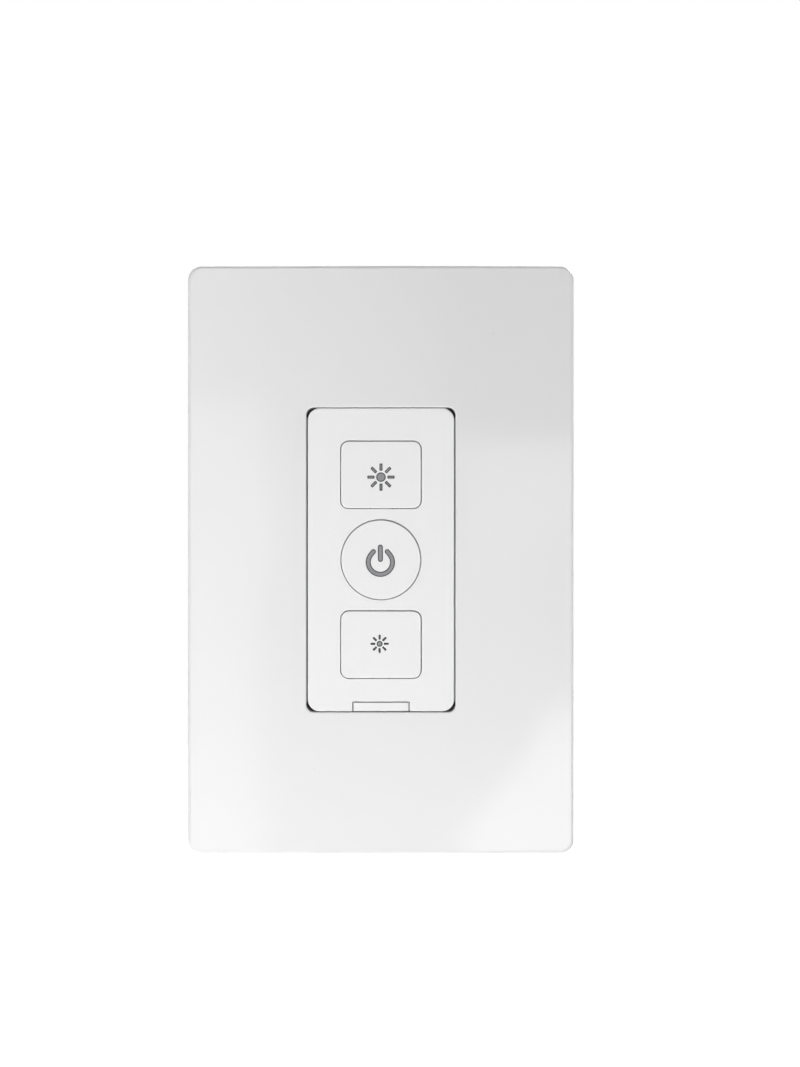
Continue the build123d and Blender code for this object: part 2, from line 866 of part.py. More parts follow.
contact_front = bridge_back - contact_gap
contact_back = contact_front - contact_thickness
with BuildPart() as mains_contacts:
    for side in sides:
        post_x = side * contact_x
        rod(contact_radius, contact_back, contact_front, post_x, stem_z)
        block(contact_post_width, contact_post_thickness, power_front, contact_back, post_x, stem_z)
mains_contacts.part.label = "mains_contacts"
export_step(mains_contacts.part, "parts/mains_contacts.step")

# Insulating sheet between the strap and the control board, open over the switches and lamps
with BuildPart() as insulator_sheet:
    with BuildSketch(front(strap_back - insulator_gap - insulator_thickness)):
        with Locations((0, control_board_z)):
            Rectangle(control_board_width, control_board_height)
        for name, centre_z in button_centres.items():
            offset_x, offset_z = icon_offsets[name]
            with Locations((0, centre_z + post_offset_z)):
                Rectangle(
                    switch_size + 2 * insulator_margin,
                    switch_size + 2 * insulator_margin,
                    mode=Mode.SUBTRACT,
                )
            with Locations((offset_x, centre_z + offset_z)):
                Rectangle(
                    led_width + 2 * insulator_margin,
                    led_length + 2 * insulator_margin,
                    mode=Mode.SUBTRACT,
                )
    extrude(amount=insulator_thickness)
insulator_sheet.part.label = "insulator_sheet"
export_step(insulator_sheet.part, "parts/insulator_sheet.step")

with BuildPart() as control_board:
    with BuildSketch(front(board_back, 0, control_board_z)):
        RectangleRounded(control_board_width, control_board_height, board_corner_radius)
    extrude(amount=board_thickness)
control_board.part.label = "control_board"
export_step(control_board.part, "parts/control_board.step")

with BuildPart() as backlight_leds:
    for name in button_centres:
        with BuildSketch(icon_plane(name, board_front)):
            Rectangle(led_width, led_length)
    extrude(amount=led_height)
backlight_leds.part.label = "backlight_leds"
export_step(backlight_leds.part, "parts/backlight_leds.step")

# Radio module with its screening can, and the control chip, on the back of the control board
radio_back = board_back - radio_thickness
with BuildPart() as radio_module:
    block(radio_width, radio_height, radio_back, board_back, 0, radio_z)
radio_module.part.label = "radio_module"
export_step(radio_module.part, "parts/radio_module.step")

with BuildPart() as radio_can:
    can_z = radio_z - (radio_height - can_height) / 2 + can_margin
    block(can_width, can_height, radio_back - can_depth, radio_back, 0, can_z)
    fillet(radio_can.edges().filter_by(Axis.Y), can_margin)
radio_can.part.label = "radio_can"
export_step(radio_can.part, "parts/radio_can.step")

with BuildPart() as control_chip:
    block(chip_size, chip_size, board_back - chip_depth, board_back, 0, chip_z)
control_chip.part.label = "control_chip"
export_step(control_chip.part, "parts/control_chip.step")

# Header between the two boards
with BuildPart() as header_pins:
    with BuildSketch(front(power_front, 0, header_z)):
        with GridLocations(pin_pitch, 0, pin_count, 1):
            Rectangle(pin_size, pin_size)
    extrude(amount=board_back - power_front)
header_pins.part.label = "header_pins"
export_step(header_pins.part, "parts/header_pins.step")


def pin_strip(low, high):
    """A moulded strip round the header's pins."""
    hole_size = pin_size + 2 * pin_clearance
    with BuildPart() as strip:
        with BuildSketch(front(low, 0, header_z)):
            Rectangle(header_width, pin_pitch)
            with GridLocations(pin_pitch, 0, pin_count, 1):
                Rectangle(hole_size, hole_size, mode=Mode.SUBTRACT)
        extrude(amount=high - low)
    return strip


header_strip = pin_strip(board_back - header_height, board_back)
header_strip.part.label = "header_strip"
export_step(header_strip.part, "parts/header_strip.step")

header_socket = pin_strip(power_front, power_front + socket_height)
header_socket.part.label = "header_socket"
export_step(header_socket.part, "parts/header_socket.step")

# Power board, notched round the housing's corner bosses, and its two screws
screw_corners = ((standoff_x, -standoff_z), (-standoff_x, standoff_z))
with BuildPart() as power_board:
    with BuildSketch(front(power_back)):
        RectangleRounded(power_board_width, power_board_waist_height, board_corner_radius)
        RectangleRounded(power_board_end_width, power_board_height, board_corner_radius)
        with Locations(*screw_corners):
            Circle(board_screw_radius + hole_clearance, mode=Mode.SUBTRACT)
    extrude(amount=board_thickness)
power_board.part.label = "power_board"
export_step(power_board.part, "parts/power_board.step")

with BuildPart() as board_screws:
    for corner_x, corner_z in screw_corners:
        screw(
            board_screw_head_radius,
            board_screw_head_height,
            power_front,
            board_screw_radius,
            board_screw_length,
            corner_x,
            corner_z,
        )
board_screws.part.label = "board_screws"
export_step(board_screws.part, "parts/board_screws.step")

# Dimming transistors against their heat sink, which stands on two feet
with BuildPart() as heat_sink:
    block(sink_width, sink_thickness, power_front, power_front + sink_height, 0, sink_z)
    for side in sides:
        block(
            sink_foot_width,
            sink_foot_length,
            power_front,
            power_front + sink_thickness,
            side * (sink_width - sink_foot_width) / 2,
            sink_z - (sink_foot_length - sink_thickness) / 2,
        )
heat_sink.part.label = "heat_sink"
export_step(heat_sink.part, "parts/heat_sink.step")

case_z = sink_z + (sink_thickness + case_thickness) / 2
case_low = power_front + lead_length
with BuildPart() as dimming_transistors:
    for side in sides:
        case_x = side * case_spacing / 2
        block(case_width, case_thickness, case_low, case_low + case_height, case_x, case_z)
        for lead in (-1, 0, 1):
            lead_x = case_x + lead * pin_pitch
            block(lead_width, lead_thickness, power_front, case_low, lead_x, case_z)
dimming_transistors.part.label = "dimming_transistors"
export_step(dimming_transistors.part, "parts/dimming_transistors.step")

# The other parts on the power board
with BuildPart() as bulk_capacitor:
    rod(
        bulk_capacitor_radius,
        power_front,
        power_front + bulk_capacitor_height,
        bulk_capacitor_x,
        lower_row_z,
    )
    fillet(bulk_capacitor.edges().filter_by(GeomType.CIRCLE), component_round)
bulk_capacitor.part.label = "bulk_capacitor"
export_step(bulk_capacitor.part, "parts/bulk_capacitor.step")

with BuildPart() as supply_transformer:
    block(
        transformer_width,
        transformer_height,
        power_front,
        power_front + transformer_depth,
        transformer_x,
        lower_row_z,
    )
    chamfer(supply_transformer.edges().filter_by(Axis.Y), component_round)
    block(
        core_width,
        2 * core_reach,
        power_front + core_proud,
        power_front + transformer_depth - core_proud,
        transformer_x,
        lower_row_z,
    )
supply_transformer.part.label = "supply_transformer"
export_step(supply_transformer.part, "parts/supply_transformer.step")

with BuildPart() as filter_choke:
    rod(choke_radius, power_front, power_front + choke_height, choke_x, choke_z)
    fillet(filter_choke.edges().filter_by(GeomType.CIRCLE), component_round)
filter_choke.part.label = "filter_choke"
export_step(filter_choke.part, "parts/filter_choke.step")

with BuildPart() as film_capacitor:
    block(film_width, film_thickness, power_front, power_front + film_height, choke_x, film_z)
    fillet(film_capacitor.edges().filter_by(Axis.Y), component_round)
film_capacitor.part.label = "film_capacitor"
export_step(film_capacitor.part, "parts/film_capacitor.step")

with BuildPart() as converter_coil:
    rod(coil_radius, power_front, power_front + coil_height, coil_x, coil_z)
    fillet(converter_coil.edges().filter_by(GeomType.CIRCLE), component_round)
converter_coil.part.label = "converter_coil"
export_step(converter_coil.part, "parts/converter_coil.step")

varistor_height = power_front + varistor_lift + varistor_radius
with BuildPart() as varistor:
    with Locations(Location((varistor_x, -varistor_height, varistor_z), (0, 90, 0))):
        Cylinder(varistor_radius, varistor_thickness)
    fillet(varistor.edges().filter_by(GeomType.CIRCLE), component_round)
    for side in sides:
        lead_z = varistor_z + side * varistor_radius / 2
        block(varistor_lead, varistor_lead, power_front, varistor_height, varistor_x, lead_z)
varistor.part.label = "varistor"
export_step(varistor.part, "parts/varistor.step")

with BuildPart() as fuse:
    rod(fuse_radius, power_front, power_front + fuse_height, fuse_x, fuse_z)
    fillet(fuse.edges().filter_by(GeomType.CIRCLE), component_round)
fuse.part.label = "fuse"
export_step(fuse.part, "parts/fuse.step")

with BuildPart() as rectifier:
    block(
        rectifier_width,
        rectifier_height,
        power_back - rectifier_depth,
        power_back,
        0,
        rectifier_z,
    )
rectifier.part.label = "rectifier"
export_step(rectifier.part, "parts/rectifier.step")

# Rear housing: a box with screw wells in its corners, shelves for the control board, stand-offs for the
# power board and pockets in its sides for the terminals
well_radius = housing_screw_head_radius + well_clearance
with BuildPart() as rear_housing:
    with BuildSketch(front(-housing_depth)):
        RectangleRounded(housing_width, housing_height, housing_corner_radius)
    extrude(amount=housing_depth + strap_back)
    chamfer(rear_housing.faces().sort_by(Axis.Y)[-1].edges(), housing_edge_chamfer)
    block(
        2 * housing_inner_x,
        2 * housing_inner_z,
        housing_floor,
        strap_back,
        mode=Mode.SUBTRACT,
    )
    with BuildSketch(front(-housing_depth)):
        with GridLocations(2 * boss_x, 2 * boss_z, 2, 2):
            Circle(boss_radius)
    extrude(amount=housing_depth + strap_back)
    for side in sides:
        for end in sides:
            corner_x = side * boss_x
            corner_z = end * boss_z
            hole_radius = housing_screw_radius + hole_clearance
            rod(well_radius, -housing_depth, -housing_screw_depth, corner_x, corner_z, Mode.SUBTRACT)
            rod(hole_radius, -housing_screw_depth, strap_back, corner_x, corner_z, Mode.SUBTRACT)
            block(
                shelf_reach,
                shelf_thickness,
                board_back - shelf_depth,
                board_back,
                side * (housing_inner_x - shelf_reach / 2),
                end * shelf_z,
            )
            rod(standoff_radius, housing_floor, power_back, side * standoff_x, end * standoff_z)
            block(
                housing_inner_x - pocket_inner_x,
                pocket_height + 2 * pocket_wall,
                -pocket_end_depth - pocket_wall,
                -pocket_start_depth + pocket_wall,
                side * (housing_inner_x + pocket_inner_x) / 2,
                end * terminal_z,
            )
            block(
                2 * pocket_depth,
                pocket_height,
                -pocket_end_depth,
                -pocket_start_depth,
                side * housing_width / 2,
                end * terminal_z,
                Mode.SUBTRACT,
            )
            block(
                terminal_plate + 2 * terminal_leg_clearance,
                terminal_leg_width + 2 * terminal_leg_clearance,
                -pocket_end_depth - pocket_wall,
                -pocket_end_depth,
                side * (pocket_floor_x + terminal_plate / 2),
                end * terminal_z,
                Mode.SUBTRACT,
            )
            bar(
                thread_radius + terminal_hole_clearance,
                pocket_inner_x,
                pocket_floor_x,
                side,
                end * terminal_z,
                Mode.SUBTRACT,
            )
    for corner_x, corner_z in screw_corners:
        rod(
            board_screw_radius + hole_clearance,
            power_front - board_screw_length - standoff_hole_margin,
            power_back,
            corner_x,
            corner_z,
            Mode.SUBTRACT,
        )
    panel_width = 2 * (boss_x - well_radius - panel_margin)
    panel_height = 2 * (boss_z - well_radius - panel_margin)
    with BuildSketch(front(-housing_depth)):
        RectangleRounded(panel_width, panel_height, panel_corner_radius)
    extrude(amount=panel_depth, mode=Mode.SUBTRACT)
    with BuildSketch(front(panel_depth - housing_depth)):
        with GridLocations(panel_width - 2 * ejector_inset, panel_height - 2 * ejector_inset, 2, 2):
            Circle(ejector_radius)
    extrude(amount=ejector_depth, mode=Mode.SUBTRACT)
    with BuildSketch(front(panel_depth - housing_depth, 0, gauge_inset - panel_height / 2)):
        SlotOverall(gauge_length, gauge_width)
    extrude(amount=gauge_depth, mode=Mode.SUBTRACT)
rear_housing.part.label = "rear_housing"
export_step(rear_housing.part, "parts/rear_housing.step")

with BuildPart() as housing_screws:
    for side in sides:
        for end in sides:
            screw(
                housing_screw_head_radius,
                housing_screw_head_height,
                -housing_screw_depth,
                housing_screw_radius,
                housing_screw_depth + strap_front - housing_screw_tip_margin,
                side * boss_x,
                end * boss_z,
                facing=-1,
            )
housing_screws.part.label = "housing_screws"
export_step(housing_screws.part, "parts/housing_screws.step")


def terminal_strip(side, end):
    """A brass plate on the floor of a terminal pocket, with a leg that stands on the power board."""
    plate_x = side * (pocket_floor_x + terminal_plate / 2)
    plate_low = -pocket_end_depth + terminal_margin
    plate_high = -pocket_start_depth - terminal_margin
    plate_height = pocket_height - 2 * terminal_margin
    hole_radius = thread_radius + hole_clearance
    strip_z = end * terminal_z
    with BuildPart() as strip:
        block(terminal_plate, plate_height, plate_low, plate_high, plate_x, strip_z)
        block(terminal_plate, terminal_leg_width, power_front, plate_low, plate_x, strip_z)
        bar(hole_radius, pocket_floor_x, plate_outer_x, side, strip_z, Mode.SUBTRACT)
    return strip


def terminal_screw(side, end):
    """A screw along X in the part being built, with its head on the clamp plate."""
    head_outer_x = clamp_outer_x + terminal_head_height
    slot_x = side * (head_outer_x - driver_slot_depth / 2)
    bar(terminal_head_radius, clamp_outer_x, head_outer_x, side, end * terminal_z)
    bar(thread_radius, terminal_tip_x, clamp_outer_x, side, end * terminal_z)
    with Locations((slot_x, -terminal_height, end * terminal_z)):
        Box(driver_slot_depth, driver_slot_width, 2 * terminal_head_radius, mode=Mode.SUBTRACT)


for name, (side, end) in terminal_places.items():
    terminal = terminal_strip(side, end)
    terminal.part.label = f"{name}_terminal"
    export_step(terminal.part, f"parts/{name}_terminal.step")

with BuildPart() as terminal_clamps:
    for side, end in terminal_places.values():
        clamp_x = side * (clamp_inner_x + clamp_outer_x) / 2
        hole_radius = thread_radius + hole_clearance
        with Locations((clamp_x, -terminal_height, end * terminal_z)):
            Box(clamp_thickness, clamp_size, clamp_size)
        bar(hole_radius, clamp_inner_x, clamp_outer_x, side, end * terminal_z, Mode.SUBTRACT)
terminal_clamps.part.label = "terminal_clamps"
export_step(terminal_clamps.part, "parts/terminal_clamps.step")

with BuildPart() as brass_terminal_screws:
    for name in ("line", "load", "traveller"):
        terminal_screw(*terminal_places[name])
brass_terminal_screws.part.label = "brass_terminal_screws"
export_step(brass_terminal_screws.part, "parts/brass_terminal_screws.step")

with BuildPart() as neutral_terminal_screw:
    terminal_screw(*terminal_places["neutral"])
neutral_terminal_screw.part.label = "neutral_terminal_screw"
export_step(neutral_terminal_screw.part, "parts/neutral_terminal_screw.step")
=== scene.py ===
"""The looks of a smart dimmer switch: finishes, threaded screws, terminals, wound parts and the studio.

Metres. X runs to the right as seen from the room, Y into the wall and Z up. The origin lies on the wall
surface, behind the centre of the insert. Sizes come from the solids of the frame wherever they can.
"""

import json
from math import cos, pi, radians, sin

import bmesh
import bpy
from bpy.props import FloatProperty, FloatVectorProperty, IntProperty, PointerProperty
from mathutils import Matrix, Vector

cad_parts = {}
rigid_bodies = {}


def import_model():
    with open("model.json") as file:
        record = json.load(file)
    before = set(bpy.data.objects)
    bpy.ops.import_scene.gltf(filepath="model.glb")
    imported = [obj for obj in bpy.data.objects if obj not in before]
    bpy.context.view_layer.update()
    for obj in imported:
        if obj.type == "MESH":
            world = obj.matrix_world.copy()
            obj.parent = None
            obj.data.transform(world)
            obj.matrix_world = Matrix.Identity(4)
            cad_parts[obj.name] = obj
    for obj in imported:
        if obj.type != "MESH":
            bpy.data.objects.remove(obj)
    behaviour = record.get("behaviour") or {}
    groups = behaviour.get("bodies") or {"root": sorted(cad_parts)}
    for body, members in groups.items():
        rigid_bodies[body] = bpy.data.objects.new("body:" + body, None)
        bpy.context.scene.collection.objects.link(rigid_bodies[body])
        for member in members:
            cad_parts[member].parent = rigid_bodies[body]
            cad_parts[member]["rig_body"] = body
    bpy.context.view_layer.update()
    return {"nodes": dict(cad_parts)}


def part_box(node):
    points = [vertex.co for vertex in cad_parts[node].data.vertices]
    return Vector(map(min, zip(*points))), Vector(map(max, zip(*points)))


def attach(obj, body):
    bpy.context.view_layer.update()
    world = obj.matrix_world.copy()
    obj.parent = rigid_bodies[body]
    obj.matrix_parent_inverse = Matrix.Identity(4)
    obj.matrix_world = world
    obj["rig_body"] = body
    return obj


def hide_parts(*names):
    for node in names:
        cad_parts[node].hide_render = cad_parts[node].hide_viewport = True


bl_info = {
    "name": "Smart dimmer switch",
    "version": (1, 0, 0),
    "blender": (4, 5, 0),
    "location": "View3D > Sidebar > Dimmer",
    "description": "Finishes and details of a wall dimmer, with its studio",
    "category": "Object",
}

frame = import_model()
NODES = frame["nodes"]

MM = 0.001
MICRON = 0.000001

# The photograph: its size, the middle of the cover's opening in it, and its scale at the cover's face
PHOTO_WIDTH = 800
PHOTO_HEIGHT = 1067
OPENING_PIXEL_X = 380.95
OPENING_PIXEL_Y = 559.75
METRES_PER_PIXEL = 0.21913 * MM
CAMERA_DISTANCE = 400 * MM
SENSOR_LENGTH = 36.0
FACE_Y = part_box("cover_plate")[0].y
CROWN_RADIUS = 2247 * MM

# Soft lamps that show only in gloss, where the photograph has light on the cover: each by its outline in
# the photograph's pixels, how much brighter than the white room it is at its two ends, and where it fades
MIRROR_DISTANCE = 1.0
WINDOWS = {
    "upper_window": (
        ((60, 150), (445, 150), (445, 440), (262, 440), (262, 392), (60, 392)),
        1.3, 0.2, "X", (200, 445),
    ),
    "room_window": (
        ((60, 392), (262, 392), (262, 440), (700, 440), (700, 1000), (60, 1000)),
        1.0, 1.0, "X", (0, 800),
    ),
    "left_window": (
        ((60, 392), (255, 400), (268, 470), (274, 535), (262, 590), (256, 660), (262, 1000), (60, 1000)),
        1.0, 1.0, "X", (0, 800),
    ),
    "right_window": (
        ((478, 442), (700, 436), (700, 505), (556, 540), (534, 556), (508, 552), (490, 575), (480, 600)),
        0.45, 0.45, "X", (0, 800),
    ),
    "low_window": (
        ((60, 640), (700, 620), (700, 1000), (60, 1000)),
        0.0, 0.4, "Z", (620, 860),
    ),
    "corner_window": (
        ((466, 842), (520, 775), (545, 728), (560, 712), (700, 700), (700, 1000), (466, 1000)),
        1.7, 1.7, "X", (0, 800),
    ),
}

# Soft lamps behind the wall's plane, where the face can't mirror them but its rounded edges do, as thin
# bright lines: each by its corners, how much brighter than the white room it is at its two ends, and
# where it fades
EDGE_WINDOWS = {
    "right_edge": (
        ((1.2, 0.0, -0.9), (1.2, 2.4, -0.9), (1.2, 2.4, 0.9), (1.2, 0.0, 0.9)),
        2.6, 1.2, "Z", (-0.24, 0.22),
    ),
    "top_edge": (
        ((-0.9, 0.0, 1.2), (0.1, 0.0, 1.2), (0.1, 2.4, 1.2), (-0.9, 2.4, 1.2)),
        2.0, 0.0, "X", (-0.13, 0.02),
    ),
}

# The screws' threads: where each starts and ends along the way that the screw is driven in, measured from
# the origin, and the radii of its crest and root
THREADS = {
    "box_screws": (0.45 * MM, 23.6 * MM, 1.75 * MM, 1.38 * MM),
    "carrier_screws": (-1.9 * MM, 2.4 * MM, 1.75 * MM, 1.38 * MM),
    "housing_screws": (-7.9 * MM, 1.6 * MM, 1.25 * MM, 0.95 * MM),
    "board_screws": (22.1 * MM, 28.0 * MM, 1.0 * MM, 0.78 * MM),
    "brass_terminal_screws": (-19.4 * MM, -15.0 * MM, 1.75 * MM, 1.38 * MM),
    "neutral_terminal_screw": (-19.4 * MM, -15.0 * MM, 1.75 * MM, 1.38 * MM),
}
BOARD_SCREW_PITCH = 0.5 * MM
INTO_WALL = (0, 1, 0)
INTO_ROOM = (0, -1, 0)


def linear(colour):
    """An sRGB hex colour as the linear red, green, blue and alpha that the shaders take."""
    parts = [int(colour[i : i + 2], 16) / 255 for i in (1, 3, 5)]
    return [c / 12.92 if c <= 0.04045 else ((c + 0.055) / 1.055) ** 2.4 for c in parts] + [1.0]


def tone(colour, depth=1.0):
    """A hex or linear colour as four linear numbers, made deeper or paler by a factor."""
    parts = linear(colour) if isinstance(colour, str) else [*colour]
    return [min(1.0, c * depth) for c in parts[:3]] + [1.0]


def cycles(size_mm):
    """The texture scale at which one grain, wave or spot is this many millimetres wide."""
    return 1 / (size_mm * MM)


def add(tree, kind, links=None, **settings):
    """Adds a node, sets its own settings, and sets or links its sockets."""
    node = tree.nodes.new(kind)
    for name, value in settings.items():
        setattr(node, name, value)
    for socket, value in (links or {}).items():
        if isinstance(value, bpy.types.NodeSocket):
            tree.links.new(value, node.inputs[socket])
        else:
            node.inputs[socket].default_value = value
    return node


def surface(name, colour, roughness, sockets=None):
    """A material with one Principled shader: the material, its tree, the shader, and Object coordinates."""
    material = bpy.data.materials.new(name)
    material.use_nodes = True
    tree = material.node_tree
    shader = tree.nodes["Principled BSDF"]
    for socket, value in {"Base Color": tone(colour), "Roughness": roughness, **(sockets or {})}.items():
        shader.inputs[socket].default_value = value
    place = add(tree, "ShaderNodeTexCoord").outputs["Object"]
    return material, tree, shader, place


def stretched(tree, place, scale):
    """Coordinates that draw a pattern out along the axes with the smaller scale."""
    return add(tree, "ShaderNodeMapping", {"Vector": place, "Scale": scale}).outputs["Vector"]


def noise(tree, place, size_mm, detail=2.0):
    """Soft noise whose spots are this wide."""
    links = {"Vector": place, "Scale": cycles(size_mm), "Detail": detail}
    return add(tree, "ShaderNodeTexNoise", links).outputs["Fac"]


def between(tree, factor, low, high):
    """A grey value that runs from low to high with a factor."""
    links = {"Value": factor, "To Min": low, "To Max": high}
    return add(tree, "ShaderNodeMapRange", links).outputs["Result"]


def blended(tree, factor, first, second):
    """One colour or the other by a factor. Each is a colour or a socket."""
    ends = [c if isinstance(c, bpy.types.NodeSocket) else tone(c) for c in (first, second)]
    return add(tree, "ShaderNodeMix", {0: factor, 6: ends[0], 7: ends[1]}, data_type="RGBA").outputs[2]


def bump(tree, shader, height, depth):
    """Raises the surface by a height of 0 to 1 times a depth."""
    normal = add(tree, "ShaderNodeBump", {"Height": height, "Distance": depth, "Strength": 1.0})
    tree.links.new(normal.outputs["Normal"], shader.inputs["Normal"])


def moulded(name, colour, roughness, grain_mm, grain_depth, ior=1.58, drift=0.95, extra=None):
    """A moulded plastic: a faint drift of shade, and the fine grain that the mould's steel left."""
    material, tree, shader, place = surface(name, colour, roughness, {"IOR": ior, **(extra or {})})
    shade = blended(tree, noise(tree, place, 9.0), tone(colour), tone(colour, drift))
    tree.links.new(shade, shader.inputs["Base Color"])
    grain = noise(tree, place, grain_mm, 3.0)
    tree.links.new(between(tree, grain, roughness - 0.04, roughness + 0.04), shader.inputs["Roughness"])
    bump(tree, shader, grain, grain_depth)
    return material


def plated(name, colour, roughness, brush, tarnish=0.78, scratch_depth=1.2 * MICRON):
    """A rolled or turned metal: fine lines along one axis, and a cloudy tint in the plating."""
    material, tree, shader, place = surface(name, colour, roughness, {"Metallic": 1.0})
    cloud = noise(tree, place, 4.0, 4.0)
    tree.links.new(blended(tree, cloud, tone(colour), tone(colour, tarnish)), shader.inputs["Base Color"])
    lines = noise(tree, stretched(tree, place, brush), 0.12, 3.0)
    tree.links.new(between(tree, lines, roughness - 0.08, roughness + 0.12), shader.inputs["Roughness"])
    bump(tree, shader, lines, scratch_depth)
    return material


def glossy_polycarbonate(colour):
    """The cover: mirror-smooth polycarbonate, a little wavy where it shrank, with a few dust specks."""
    material, tree, shader, place = surface("glossy_polycarbonate", colour, 0.06, {"IOR": 1.585})
    specks = {"Vector": place, "Scale": cycles(7.0), "Randomness": 1.0}
    distance = add(tree, "ShaderNodeTexVoronoi", specks).outputs["Distance"]
    dust = add(tree, "ShaderNodeMapRange", {"Value": distance, "From Min": 0.016, "From Max": 0.008})
    body = blended(tree, noise(tree, place, 30.0), tone(colour), tone(colour, 0.985))
    tree.links.new(blended(tree, dust.outputs["Result"], body, "#B9B9B6"), shader.inputs["Base Color"])
    smear = noise(tree, place, 5.0, 4.0)
    tree.links.new(between(tree, smear, 0.04, 0.09), shader.inputs["Roughness"])
    bump(tree, shader, noise(tree, place, 16.0, 1.0), 9 * MICRON)
    return material


def solder_mask():
    """A printed board: green mask over copper, with lands and tracks that stand out under it."""
    material, tree, shader, place = surface("green_solder_mask", "#12562E", 0.3, {"IOR": 1.55})
    grid = {"Vector": place, "Scale": cycles(1.9), "Randomness": 0.35}
    cells = add(tree, "ShaderNodeTexVoronoi", grid, distance="CHEBYCHEV")
    links = {"Value": cells.outputs["Distance"], "From Min": 0.36, "From Max": 0.4}
    edge = add(tree, "ShaderNodeMapRange", links).outputs["Result"]
    tree.links.new(blended(tree, edge, "#17693A", "#0C4525"), shader.inputs["Base Color"])
    bump(tree, shader, edge, 25 * MICRON)
    return material


def make_finishes():
    """Every finish of the object, by a short name."""
    chosen = bpy.context.scene.dimmer_finish
    cloudy = {"Subsurface Weight": 0.15, "Subsurface Radius": (1.0, 1.0, 1.0), "Subsurface Scale": 0.3 * MM}
    return {
        # Glossy polycarbonate from a polished mould: it mirrors the room faintly
        "gloss": glossy_polycarbonate(chosen.cover),
        # Satin polycarbonate: an etched mould gives it a fine, even grain and a soft sheen
        "satin": moulded("satin_polycarbonate", chosen.insert, 0.42, 0.16, 2.2 * MICRON, drift=0.99),
        # The icons' diffusing polycarbonate: grey and slightly cloudy. The near-black ring at the edge of
        # each shape is painted shade of the seam round the icon
        "guide": moulded("diffusing_polycarbonate", chosen.icon, 0.42, 0.15, 3 * MICRON, extra=cloudy),
        "guide_seam_shade": moulded("icon_seam_painted_shade", "#2C2C2E", 0.5, 0.15, 3 * MICRON),
        # Nylon of the carrier plate, its colour made dark grey as painted shade for the deep gap round the
        # insert
        "nylon": moulded("grey_nylon_painted_gap_shade", "#343437", 0.5, 0.5, 6 * MICRON, 1.53, 1.2),
        # Black polycarbonate from a spark-eroded mould: a coarse matt grain
        "housing": moulded("black_polycarbonate", chosen.housing, 0.5, 0.3, 14 * MICRON, drift=1.3),
        # Black glass-filled nylon of the switches and headers
        "black_nylon": moulded("black_nylon", "#151515", 0.48, 0.12, 4 * MICRON, 1.53, 1.4),
        # Ivory acetal: slippery and slightly waxy
        "acetal": moulded("ivory_acetal", "#E9E4D6", 0.33, 0.2, 2 * MICRON, 1.48),
        # Vulcanised fibre: a pressed, fibrous grey-buff card
        "fibre": moulded("vulcanised_fibre", "#B9AE97", 0.75, 0.35, 20 * MICRON, 1.5, 0.85),
        # Polyester film: smooth and milky
        "film": moulded("polyester_film", "#D9DCDB", 0.25, 0.8, 2 * MICRON, 1.64),
        # Epoxy compound of the chip packages: dull black with a sandy grain
        "epoxy": moulded("epoxy_compound", "#1A1A1B", 0.6, 0.1, 6 * MICRON, 1.55, 1.3),
        # Polybutylene box of the film capacitor
        "yellow_case": moulded("yellow_polybutylene", "#D2A62A", 0.35, 0.3, 3 * MICRON, 1.55),
        # Polyester tape round the transformer: bright and a little slack
        "tape": moulded("yellow_polyester_tape", "#D9BF3A", 0.22, 1.2, 8 * MICRON, 1.64),
        # Sintered ferrite: dark, dense and faintly sparkling
        "ferrite": moulded("sintered_ferrite", "#2A2A2C", 0.5, 0.08, 5 * MICRON, 2.1, 1.5),
        # Dipped epoxy of the varistor: thick, glossy and uneven
        "blue_dip": moulded("dipped_blue_epoxy", "#1F4F9C", 0.18, 1.6, 30 * MICRON, 1.55),
        # Shrink sleeve of the electrolytic capacitor
        "sleeve": moulded("shrink_sleeve", "#1B1C22", 0.2, 1.0, 4 * MICRON, 1.54, 1.3),
        # Phosphor resin over the lamps
        "phosphor": moulded("phosphor_resin", "#E8DC8E", 0.3, 0.3, 3 * MICRON, 1.5),
        # Electro-galvanised sheet steel, rolled along Z and clouded by its plating
        "zinc": plated("zinc_plated_sheet", chosen.steel, 0.33, (1.0, 1.0, 0.06)),
        # The same plating on turned screws
        "screw": plated("zinc_plated_screw", "#C6C8C9", 0.28, (1.0, 0.1, 1.0)),
        # Stamped brass, a little tarnished
        "brass": plated("stamped_brass", chosen.brass, 0.3, (1.0, 0.08, 1.0), 0.72),
        # Tinned pressed steel: white and soft
        "tin": plated("tinned_steel", "#CFCFCC", 0.3, (0.1, 1.0, 1.0)),
        # Stainless spring steel of the snap domes
        "spring": plated("stainless_spring_steel", "#C4C3C0", 0.22, (0.1, 1.0, 1.0)),
        # Mill-finished aluminium sheet
        "aluminium": plated("mill_aluminium", "#D3D5D6", 0.32, (0.06, 1.0, 1.0)),
        # Enamelled copper wire
        "copper": plated("enamelled_copper", "#B5622D", 0.2, (1.0, 1.0, 1.0)),
        # Steel dyed green over its zinc, as ground screws are
        "green": plated("green_dyed_steel", "#2E7D3F", 0.3, (1.0, 0.1, 1.0)),
        "mask": solder_mask(),
    }


FINISHES = {}


def finish(name):
    """A finish by its short name. All are made the first time that one is asked for."""
    if not FINISHES:
        FINISHES.update(make_finishes())
    return FINISHES[name]


def dress(name, *nodes):
    """Gives the solids of these nodes a finish."""
    for node in nodes:
        for slot in NODES[node].material_slots:
            slot.material = finish(name)


def place_piece(name, mesh, slot, finishes, *replaced):
    """Links a finished mesh as a piece that rides with, and stands for, the nodes that it replaces."""
    piece = bpy.data.objects.new(name, mesh)
    bpy.context.scene.collection.objects.link(piece)
    for kind in finishes:
        mesh.materials.append(finish(kind))
    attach(piece, NODES[replaced[0]]["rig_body"])
    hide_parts(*replaced)
    return piece


